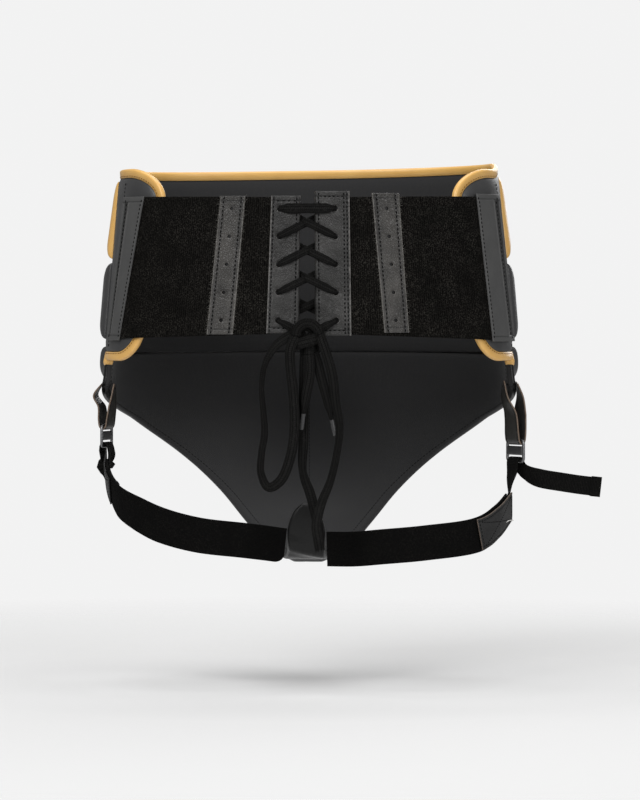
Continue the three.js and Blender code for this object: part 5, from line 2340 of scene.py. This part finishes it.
        run = self.band_run(self.binding_start, low)
        while run > self.bottom_corner[0]:
            half.append((run, low))
            run -= step
        add_corner(self.bottom_corner, low_end, 1.5 * math.pi)
        half.extend((-shift, lerp(low_end, high_end, i / end_steps)) for i in range(1, end_steps))
        add_corner(self.top_corner, high_end, math.pi)
        run = self.top_corner[0] + step
        while run < middle - step / 2:
            half.append((run, self.top_at(run) + shift))
            run += step
        mirrored = []
        for run, z in reversed(half):
            other = self.band_length - run
            rise = self.front_rise(self.band_arc(other, 0)) - self.front_rise(self.band_arc(run, 0))
            mirrored.append((other, z + (rise if z > 0 else 0.0)))
        return half + mirrored

    def build_binding(self) -> None:
        """Build the gold binding, folded over the band's edge and sewn down."""
        half, flange, reach = self.binding_half, self.flange, self.binding_reach
        depth = (self.shell_inside + self.shell_outside) / 2
        places = self.binding_places(0.0)
        folds = [(0.0114, 0.0126, 0.2, 0.3), (0.0115, 0.0115, 0.6, 0.85), (0.0105, 0.009, 0.9, 1.35),
                 (0.0085, 0.005, 1.05, 1.6), (0.0055, 0.0015, 1.1, 1.3), (0.003, 0.0, 1.05, 1.05)]
        first, last = places[0], places[-1]
        ways = [(first[0] + on, first[1] - fall) for on, fall, _, _ in folds]
        ways += places + [(last[0] - on, last[1] - fall) for on, fall, _, _ in reversed(folds)]
        ends = [(wide, deep) for _, _, wide, deep in folds]
        sizes = ends + [(1.0, 1.0)] * len(places) + ends[::-1]
        path = [self.waist.at(self.band_arc(run, z), z, depth) for run, z in ways]
        facing = [self.waist.outwards(self.band_arc(run, z), z) for run, z in ways]
        slot, leaf = half - 0.0002, 0.0004
        section = [(-flange, half + leaf)]
        for i in range(13):
            turn = math.pi * (0.5 - i / 12)
            section.append((reach - half + half * math.cos(turn), (half + leaf + 0.0003) * math.sin(turn)))
        section += [(-flange, -half - leaf), (-flange, -slot), (0.0002, -slot), (0.0002, slot),
                    (-flange, slot)]
        piece = Sweep("gold_binding", path, facing, section, sizes).build()
        self.shop.dress(piece, Slot.GOLD, [Look.GOLD], ["edge_binding"])
        seam = []
        for run, z in self.binding_places(0.0004):
            arc = self.band_arc(run, z)
            seam.append((self.waist.at(arc, z, depth + half + leaf), self.waist.outwards(arc, z)))
        self.shop.sew("binding_stitches", [seam], self.stitch, Look.GOLD_THREAD, Slot.GOLD)

    def build_pad(self, row: PadRow) -> None:
        """Build one padded row and fill it.

        Args:
            row: Its place and thickness.
        """
        length = 2 * (self.waist.half_girth - self.pad_start)
        height = row.top - row.bottom
        most = max(row.thick_bottom, row.thick_top)

        def place(along: float, up: float, offset: float) -> Vector:
            """Find a point over the band.

            Args:
                along: The share along the sheet.
                up: The share across it.
                offset: The distance outwards.

            Returns:
                The point.
            """
            arc = self.pad_start + along * length
            top = row.top + (self.front_rise(arc) if row.rises else 0.0)
            return self.waist.at(arc, lerp(row.bottom, top, up), offset)

        def thinner(_along: float, up: float) -> float:
            """Return how far the pad lies below its thickest level."""
            return lerp(row.thick_bottom, row.thick_top, up / height) - most

        slab = Slab(f"{row.node}_cover", place, length, height, self.pad_seat, self.pad_seat + most,
                    step=0.005, rise=0.005, rim=self.pad_shoulder, square=2.0, relief=thinner,
                    rim_level=0.0)
        piece = slab.build()
        self.pad_fill.swell(piece)
        self.shop.dress(piece, row.slot, [row.look, row.look], [row.node])


# Lower shield


class GroinForm:
    """The form of the lower shield: a line down the middle, the waist's curve across and the cup's bulge."""

    lead = 0.017
    flare_end = 0.05
    start_height = -0.077
    cup_depth, cup_centre, cup_half_length, cup_half_width = 0.024, 0.095, 0.088, 0.078
    line = ((0.1138, -0.06), (0.1143, -0.077), (0.115, -0.11), (0.11, -0.15), (0.094, -0.19), (0.062, -0.228),
            (0.02, -0.254), (-0.022, -0.262), (-0.046, -0.25), (-0.053, -0.226), (-0.054, -0.206))

    def __init__(self, waist: Waist) -> None:
        """Measure the middle line.

        Args:
            waist: The oval that the guard lies on.
        """
        self.waist = waist
        self.route = Route([(0.0, y, z) for y, z in self.line])
        fine = 40
        self.rows = self.route.measured([i / fine for i in range(self.route.last * fine + 1)])

    def form(self, reach: float, down: float) -> Vector:
        """Find a point of the form itself.

        Args:
            reach: The distance across from the middle, plus towards +X.
            down: The distance down from the band's bottom edge.

        Returns:
            The point.
        """
        index = from_table(self.rows, down + self.lead)
        tangent = self.route.tangent(index)
        height = self.start_height - min(down, self.flare_end)
        section = self.waist.at(self.waist.half_girth - reach, height, 0)
        fall_back = self.waist.point(math.pi, height, 0).y - section.y
        cup = self.cup_depth * bell(reach / self.cup_half_width)
        cup *= bell((down - self.cup_centre) / self.cup_half_length)
        middle = self.route.at(index)
        outwards = Vector((0, -tangent.z, tangent.y))
        return Vector((section.x, middle.y, middle.z)) + outwards * (cup - fall_back)

    def point(self, reach: float, down: float, offset: float) -> Vector:
        """Find a point over the form.

        Args:
            reach: The distance across from the middle.
            down: The distance down from the band's bottom edge.
            offset: The distance outwards.

        Returns:
            The point.
        """
        step = 0.0005
        across = self.form(reach + step, down) - self.form(reach - step, down)
        fall = self.form(reach, down + step) - self.form(reach, down - step)
        return self.form(reach, down) + offset * across.cross(fall).normalized()


@dataclass
class LowerShield:
    """The lower shield with its side flaps and its tongue, and the pad over its cup."""

    form: GroinForm
    shop: Workshop
    shell_inside: float = Shield.shell_inside
    shell_outside: float = Shield.shell_outside
    start: float = 0.0003
    pad_seat: float = 0.0002
    pad_thick: float = 0.0085
    pad_shoulder: float = 0.014
    pad_fill: Filling = Filling()
    stitch: StitchSizes = Shield.stitch
    panel_reach: Table = (
        (0.0, 0.238), (0.036, 0.237), (0.05, 0.216), (0.075, 0.165), (0.105, 0.116), (0.14, 0.08),
        (0.18, 0.055), (0.22, 0.036), (0.25, 0.022), (0.272, 0.0166), (0.304, 0.016), (0.311, 0.0145),
        (0.3165, 0.0125), (0.321, 0.0102), (0.3245, 0.0072), (0.327, 0.004), (0.328, 0.0018))
    tongue_shift: Table = ((0.22, 0.0), (0.272, -0.0022))
    tongue_fold: Pair = (0.293, 0.5)
    tongue_swells: Sequence[Row] = ((0.0024, -0.011, 0.013), (-0.0008, 0.001, 0.0035))
    pad_reach: Table = (
        (-0.009, 0.224), (0.01, 0.219), (0.026, 0.202), (0.045, 0.178), (0.07, 0.14), (0.1, 0.1),
        (0.135, 0.068), (0.175, 0.045), (0.215, 0.028), (0.24, 0.014))
    edge_lines: Sequence[float] = (0.0, 0.0003, 0.001, 0.0025, 0.005, 0.009, 0.015, 0.023)

    def build(self) -> None:
        """Build the panel and the pad over it."""
        self.build_panel()
        self.build_pad()

    def spread_slab(self, name: str, reach: Table, first: float, **sizes: object) -> Slab:
        """Lay a slab over the form between the two ends of a table.

        Args:
            name: The object's name.
            reach: The distance down and the half width, row by row.
            first: The distance down at which it starts.
            sizes: The slab's other fields.

        Returns:
            The slab.
        """
        outline, _ = Route([(*row, 0.0) for row in reach]).even(0.002)
        edge = [(point.x, point.y) for point in outline]
        last = edge[-1][0]
        height = last - first
        length = 2 * max(half for _, half in edge)

        def place(along: float, up: float, offset: float) -> Vector:
            """Find a point over the form.

            Args:
                along: The share along the sheet.
                up: The share across it.
                offset: The distance outwards.

            Returns:
                The point.
            """
            down = lerp(last, first, up)
            shift = from_table(self.tongue_shift, down)
            return self.form.point(from_table(edge, down) * (1 - 2 * along) + shift, down, offset)

        def spread(up: float) -> float:
            """Return a row's true width as a share of the slab's length."""
            return 2 * from_table(edge, last - up) / length

        count = round((length / 2 - self.edge_lines[-1]) / 0.008)
        inner = [lerp(self.edge_lines[-1], length / 2, i / count) for i in range(1, count + 1)]
        half = [*self.edge_lines, *inner]
        lines = half + [length - line for line in reversed(half[:-1])]
        return Slab(name, place, length, height, spread=spread, lines=lines, **sizes)

    def tongue_relief(self, along: float, up: float) -> float:
        """Find the relief of the fold across the tongue and of the dome in front of it.

        Args:
            along: Metres along the panel.
            up: Metres up the panel.

        Returns:
            The height.
        """
        last, length = self.panel_reach[-1][0], 2 * self.panel_reach[0][1]
        down = last - up
        across = from_table(self.panel_reach, down) * (1 - 2 * along / length)
        fold, slant = self.tongue_fold
        past = down - (fold - slant * across)
        return sum(height * bell((past - middle) / half) for height, middle, half in self.tongue_swells)

    def build_panel(self) -> None:
        """Build the lower shield itself, with its lining sewn down round the edge and along the middle."""
        slab = self.spread_slab("groin_panel_cover", self.panel_reach, self.start, inside=self.shell_inside,
                                outside=self.shell_outside, rise=0.003, rim=0.0032, square=2.2,
                                relief=self.tongue_relief)
        piece = slab.build()
        self.shop.dress(piece, Slot.BLACK, [Look.FLAP, Look.LINING], ["groin_panel"])
        inset, low, high, middle = 0.007, 0.06, slab.height - 0.006, slab.length / 2
        levels = [lerp(low, high, i / 40) for i in range(41)]
        sides = [(inset / slab.spread(up), up) for up in levels]
        lines = [sides, [(middle, low), (middle, high)], [(slab.length - along, up) for along, up in sides]]
        seams = [slab.seam(*line, face=Face.INNER) for line in lines]
        self.shop.sew("lining_stitches", seams, self.stitch)

    def build_pad(self) -> None:
        """Build the pad over the cup and fill it."""
        slab = self.spread_slab("groin_pad_cover", self.pad_reach, self.pad_reach[0][0], inside=self.pad_seat,
                                outside=self.pad_seat + self.pad_thick, rise=0.005, rim=self.pad_shoulder,
                                square=2.0, rim_level=0.0)
        piece = slab.build()
        self.pad_fill.swell(piece)
        self.shop.dress(piece, Slot.BLACK, [Look.PAD, Look.PAD], ["groin_pad"])


# Leg loops


class StrapForm:
    """A flat strap along rows of a distance out, Y, Z, a lean and perhaps a turn about an upright axis.

    Its width is upright at a lean of 0 and points back at 90 degrees.
    """

    def __init__(self, rows: Sequence[Row], side: Side, width: float, first: float = 0.0,
                 last: Optional[float] = None) -> None:
        """Measure a stretch of the strap.

        Args:
            rows: The strap's rows.
            side: The side that it is on.
            width: Its width.
            first: The number of the row at which the stretch starts.
            last: The number of the row at which it ends, or nothing for the last one.
        """
        self.side = side.value
        self.width = width
        self.route = Route([(self.side * row[0], row[1], row[2]) for row in rows])
        self.leans = [(i, math.radians(row[3])) for i, row in enumerate(rows)]
        self.turns = [(i, math.radians(row[4] if len(row) > 4 else 0.0)) for i, row in enumerate(rows)]
        last = self.route.last if last is None else last
        count = max(8, round((last - first) * 24))
        self.rows = self.route.measured([lerp(first, last, i / count) for i in range(count + 1)])

    @property
    def length(self) -> float:
        """The stretch's length."""
        return self.rows[-1][0]

    def surface(self, along: float, up: float, offset: float) -> Vector:
        """Find a point of the strap.

        Args:
            along: The share along the sheet.
            up: The share across it.
            offset: The distance outwards.

        Returns:
            The point.
        """
        index = from_table(self.rows, along * self.length)
        tangent = self.route.tangent(index)
        lean = from_table(self.leans, index)
        across = Vector((0, -self.side * math.sin(lean), self.side * math.cos(lean)))
        across.rotate(Quaternion((0, 0, 1), self.side * from_table(self.turns, index)))
        across = (across - across.dot(tangent) * tangent).normalized()
        normal = tangent.cross(across)
        return self.route.at(index) + across * ((up - 0.5) * self.width) + normal * offset


@dataclass(frozen=True)
class LegRow:
    """The routes of one leg loop, the heights of its tab and the place and turn of its slider."""

    side: Side
    route: Sequence[Row]
    elastic_end: float
    patch: Pair
    patch_seat: float
    patch_look: Look
    web_start: Sequence[Row]
    tail: Sequence[Row]
    tab_top: float
    tab_bulge: float
    loop_bottom: float
    slider_out: float
    turn: float


LEGS = (
    LegRow(Side.LEFT, (
        (0.0214, -0.049, -0.248, 0), (0.037, -0.063, -0.245, 0), (0.058, -0.079, -0.2415, 0),
        (0.098, -0.092, -0.236, 0), (0.129, -0.087, -0.228, 0), (0.15, -0.073, -0.219, 5),
        (0.168, -0.051, -0.209, 20), (0.177, -0.031, -0.197, 45), (0.1805, -0.017, -0.185, 62),
        (0.18, -0.006, -0.173, 82)),
        8.25, (6.75, 9.0), 0.0004, Look.FLAP, ((0.18, -0.01, -0.178, 76), (0.1789, -0.003, -0.169, 86, 10)), (
        (0.1854, 0.01, -0.169, 84, 14), (0.184, 0.017, -0.178, 50), (0.1828, 0.03, -0.188, 26),
        (0.1805, 0.05, -0.198, 18), (0.176, 0.074, -0.207, 14)), -0.106, 0.0101, -0.146, 0.1825, 18.0),
    LegRow(Side.RIGHT, (
        (0.0162, -0.048, -0.251, 0), (0.04, -0.066, -0.25, 0), (0.064, -0.084, -0.247, 0),
        (0.103, -0.092, -0.243, 0), (0.149, -0.072, -0.237, 0), (0.166, -0.05, -0.227, 10),
        (0.179, -0.02, -0.214, 20)),
        5.8, (4.0, 6.0), 0.0012, Look.PATCH, (
        (0.1766, -0.023, -0.212, 55), (0.181, -0.008, -0.2, 75), (0.183, 0.003, -0.187, 90, 26)), (
        (0.1918, 0.007, -0.1815, 74, 30), (0.198, 0.002, -0.1865, 30, 8), (0.208, -0.002, -0.19, 5),
        (0.2277, -0.003, -0.1934, 0), (0.245, -0.003, -0.196, 0), (0.2628, -0.002, -0.198, 0)),
        -0.104, 0.0044, -0.1595, 0.1863, 32.0),
)


@dataclass
class LegLoop:
    """One leg loop: the tab, the slider, the webbing through it, the sewn patch and the elastic."""

    leg: LegRow
    shop: Workshop
    elastic_width: float = 0.031
    elastic_thick: float = 0.002
    web_width: float = 0.017
    web_thick: float = 0.0015
    patch_width: float = 0.028
    patch_thick: float = 0.0014
    tab_width: float = 0.0215
    tab_thick: float = 0.0014
    tab_y: float = 0.006
    tab_outer: float = 0.1874
    tab_inner: float = 0.1754
    slider_width: float = 0.028
    slider_thick: float = 0.0024
    bar: float = 0.003
    slot_top: float = 0.0034
    bar_middle: float = 0.0082
    slot_bottom: float = 0.0039
    hold: float = 0.0018
    sink: float = 0.0018
    hem: float = 0.0095
    tuck: float = 0.011
    stitch: StitchSizes = StitchSizes(pitch=0.0029, length=0.0022, width=0.0009, height=0.0006)

    def build(self) -> None:
        """Build the loop's pieces."""
        self.build_elastic()
        self.build_patch()
        self.build_webbing()
        self.build_tab()
        self.build_slider()

    @property
    def word(self) -> str:
        """The side's name."""
        return self.leg.side.word

    @property
    def bar_heights(self) -> tuple[float, float, float]:
        """Find where the slider's bars are.

        Returns:
            The heights of the top bar's underside, the lower slot's top and the bottom bar's top.
        """
        top = self.leg.loop_bottom + self.hold
        slot = top - self.slot_top - self.bar_middle
        return top, slot, slot - self.slot_bottom

    def turned(self, shift: float, z: float, lean: float, share: float = 1.0) -> Row:
        """Find a strap's row beside the slider's turned middle plane.

        Args:
            shift: The distance outwards from the plane.
            z: The height.
            lean: The strap's lean in degrees.
            share: How much of the slider's turn it has.

        Returns:
            The row.
        """
        turn = self.leg.turn * share
        angle = math.radians(turn)
        out, back = shift * math.cos(angle), shift * math.sin(angle)
        return (self.leg.slider_out + out, self.tab_y + back, z, lean, turn)

    @staticmethod
    def lengthwise(pitch: float, depth: float) -> Relief:
        """Make fine ribs along a strap.

        Args:
            pitch: The distance between two ribs.
            depth: Their depth.

        Returns:
            The relief.
        """

        def ribs(_along: float, up: float) -> float:
            """Return the ribs' height."""
            return depth * (abs(math.sin(math.pi * up / pitch)) - 1)

        return ribs

    def build_elastic(self) -> None:
        """Build the leg elastic, whose lower corner is rounded on the left beside the tongue."""
        form = StrapForm(self.leg.route, self.leg.side, self.elastic_width, 0.0, self.leg.elastic_end)
        half = self.elastic_thick / 2

        def tucked(along: float, up: float, offset: float) -> Vector:
            """Return a point of the elastic."""
            rounded = self.tuck * (1 - math.sqrt(1 - (1 - clamp(along * form.length / self.tuck)) ** 2))
            return form.surface(along, lerp(0.0, 1 - 0.7 * rounded / self.elastic_width, up), offset)

        surface = tucked if self.leg.side is Side.LEFT else form.surface
        slab = Slab(f"leg_band_{self.word}", surface, form.length, self.elastic_width, -half, half,
                    step=0.002, rise=0.0004, rim=0.0007, relief=self.lengthwise(0.00155, 0.0001))
        piece = slab.build()
        self.shop.dress(piece, Slot.ELASTIC, [Look.LEG, Look.LEG], [f"leg_elastic_{self.word}"])

    def build_patch(self) -> None:
        """Build the leather patch with its box and cross of stitches."""
        form = StrapForm(self.leg.route, self.leg.side, self.patch_width, *self.leg.patch)
        inside = self.elastic_thick / 2 + self.leg.patch_seat
        inset = 0.0026
        length, width = form.length, self.patch_width
        creases = [Crease(0.00025, 0.0008, along=inset), Crease(0.00025, 0.0008, along=length - inset),
                   Crease(0.00025, 0.0008, up=inset), Crease(0.00025, 0.0008, up=width - inset)]
        slab = Slab(f"sewn_patch_{self.word}", form.surface, length, width, inside, inside + self.patch_thick,
                    step=0.0016, rise=0.0016, rim=0.0005, creases=creases, edge_reach=0.001)
        look = self.leg.patch_look
        self.shop.dress(slab.build(), Slot.BLACK, [look, look], [f"strap_patch_{self.word}"])
        corners = [(inset, inset), (length - inset, inset), (length - inset, width - inset),
                   (inset, width - inset)]
        pairs = [(0, 1), (1, 2), (2, 3), (3, 0), (0, 2), (1, 3)]
        seams = [slab.seam(corners[a], corners[b]) for a, b in pairs]
        self.shop.sew(f"patch_stitches_{self.word}", seams, self.stitch)
        if self.leg.side is Side.RIGHT:
            self.build_loose_thread(slab)

    def build_loose_thread(self, slab: Slab) -> None:
        """Lay the pale end of thread across the patch's lower corner.

        Args:
            slab: The patch.
        """
        size, lift = 0.0009, 0.0005
        ways = [(-0.02, 0.27), (-0.014, 0.22), (-0.008, 0.14), (-0.003, 0.06), (0.0006, 0.0)]
        end, face = slab.length, slab.outside
        places = [slab.place(end + along, up * slab.height, face + lift) for along, up in ways]
        path, _ = Route(places).even(0.0006)
        out = slab.place(end, 0.0, face + 0.001) - slab.place(end, 0.0, face)
        piece = Sweep("loose_thread", path, [out.normalized()] * len(path), oval(8),
                      [(size, size)] * len(path)).build()
        self.shop.dress(piece, Slot.BLACK, [Look.PALE_THREAD])

    def web_rows(self) -> list[Row]:
        """List the webbing's rows, from the patch through the slider to the free end.

        Returns:
            The rows.
        """
        bottom = self.bar_heights[2]
        turn = [(-0.0033, bottom - 0.0024), (-0.0023, bottom + 0.0005), (0.0, bottom + self.sink),
                (0.0023, bottom + 0.0005), (0.0034, bottom - 0.0024)]
        middle = [self.turned(shift, z, 90.0) for shift, z in turn]
        return [*self.leg.web_start, *middle, *self.leg.tail]

    def build_webbing(self) -> None:
        """Build the webbing with its hemmed free end."""
        form = StrapForm(self.web_rows(), self.leg.side, self.web_width)
        half = self.web_thick / 2
        hem_start = form.length - self.hem
        ribs = self.lengthwise(0.0017, 0.00012)

        def hemmed(along: float, up: float) -> float:
            """Return the ribs, doubled over at the hem."""
            return ribs(along, up) + 0.0008 * smooth_step(along, hem_start - 0.0004, hem_start + 0.0004)

        def folded(along: float, up: float, offset: float) -> Vector:
            """Return a point of the webbing, a little wider at the hem."""
            wider = 1 + 0.07 * smooth_step(along * form.length, hem_start - 0.0004, hem_start + 0.0006)
            return form.surface(along, 0.5 + (up - 0.5) * wider, offset)

        slab = Slab(f"web_strap_{self.word}", folded, form.length, self.web_width, -half, half, step=0.002,
                    rise=0.00043, rim=0.0006, relief=hemmed,
                    creases=[Crease(0.0, 0.0005, along=hem_start)])
        piece = slab.build()
        self.shop.dress(piece, Slot.WEBBING, [Look.WEBBING, Look.WEBBING], [f"webbing_{self.word}"])
        seam = slab.seam((hem_start + 0.0015, 0.001), (hem_start + 0.0015, self.web_width - 0.001))
        self.shop.sew(f"hem_stitches_{self.word}", [seam], self.stitch, slot=Slot.WEBBING)

    def build_tab(self) -> None:
        """Build the leather tab, folded round the slider's top bar and sewn to the flap above."""
        leg, top, low = self.leg, self.leg.tab_top, self.leg.loop_bottom
        fall = top - low
        leaves = [(self.tab_outer - leg.slider_out, top, 0.0), (leg.tab_bulge, top - 0.24 * fall, 0.4),
                  (0.0046, top - 0.5 * fall, 0.85), (0.0039, low + 0.009, 1.0), (0.0027, low + 0.0024, 1.0),
                  (0.0, low, 1.0), (-0.0027, low + 0.0024, 1.0), (-0.0039, low + 0.009, 1.0),
                  (-0.0054, top - 0.5 * fall, 0.85),
                  (self.tab_inner - leg.slider_out + 0.0006, top - 0.24 * fall, 0.4),
                  (self.tab_inner - leg.slider_out, top, 0.0)]
        rows = [self.turned(shift, z, -90.0, share) for shift, z, share in leaves]
        form = StrapForm(rows, leg.side, self.tab_width)
        half, inset, width, length = self.tab_thick / 2, 0.0022, self.tab_width, form.length
        slab = Slab(f"folded_tab_{self.word}", form.surface, length, width, -half, half, step=0.0014,
                    rise=0.0012, rim=0.0004, edge_reach=0.0009,
                    creases=[Crease(0.0002, 0.0007, up=inset), Crease(0.0002, 0.0007, up=width - inset)])
        self.shop.dress(slab.build(), Slot.BLACK, [Look.TAB, Look.TAB], [f"side_tab_{self.word}"])
        seams = [slab.seam((0.003, up), (length - 0.003, up)) for up in (inset, width - inset)]
        seams += [slab.seam((along, inset), (along, width - inset)) for along in (0.003, length - 0.003)]
        self.shop.sew(f"tab_stitches_{self.word}", seams, self.stitch)

    def build_slider(self) -> None:
        """Build the two-slot slider out of rounded wire."""
        top, slot, bottom = self.bar_heights
        half = self.slider_width / 2 - self.bar / 2
        high, low = top + self.bar / 2, bottom - self.bar / 2
        bend = 0.003
        side = self.leg.side.value
        angle = side * math.radians(self.leg.turn)
        along = Vector((-math.sin(angle), math.cos(angle), 0))
        face = Vector((math.cos(angle), math.sin(angle), 0))

        def at(across: float, z: float) -> Vector:
            """Return a point of the slider's middle plane."""
            return Vector((side * self.leg.slider_out, self.tab_y, z)) + across * along

        corners = [(half - bend, high - bend, 0.0), (-half + bend, high - bend, 0.5 * math.pi),
                   (-half + bend, low + bend, math.pi), (half - bend, low + bend, 1.5 * math.pi)]
        path = []
        for across, z, first in corners:
            turns = [first + 0.5 * math.pi * i / 6 for i in range(7)]
            path += [at(across + bend * math.cos(turn), z + bend * math.sin(turn)) for turn in turns]
        wire = oval(14, power=2.6)
        loop = Sweep("slider_loop", path, [face] * len(path), wire,
                     [(self.bar, self.slider_thick)] * len(path), looped=True)
        bars = [at(lerp(-half, half, i / 8), slot + self.bar_middle / 2) for i in range(9)]
        bar = Sweep("slider_bar", bars, [face] * 9, oval(24, power=5.0),
                    [(self.bar_middle, 0.85 * self.slider_thick)] * 9)
        piece = join(f"wire_slider_{self.word}", [loop.build(), bar.build()])
        self.shop.dress(piece, Slot.METAL, [Look.STEEL], [f"slider_{self.word}"])


def main() -> None:
    """Build the guard piece by piece."""
    logging.basicConfig(level=logging.INFO, format="%(name)s %(message)s")
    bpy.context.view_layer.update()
    waist = Waist()
    shop = Workshop()
    Studio().build()
    Lacing(waist, shop).build()
    BackBelt(waist, shop).build()
    Shield(waist, shop).build()
    LowerShield(GroinForm(waist), shop).build()
    for leg in LEGS:
        LegLoop(leg, shop).build()


if __name__ == "__main__":
    main()
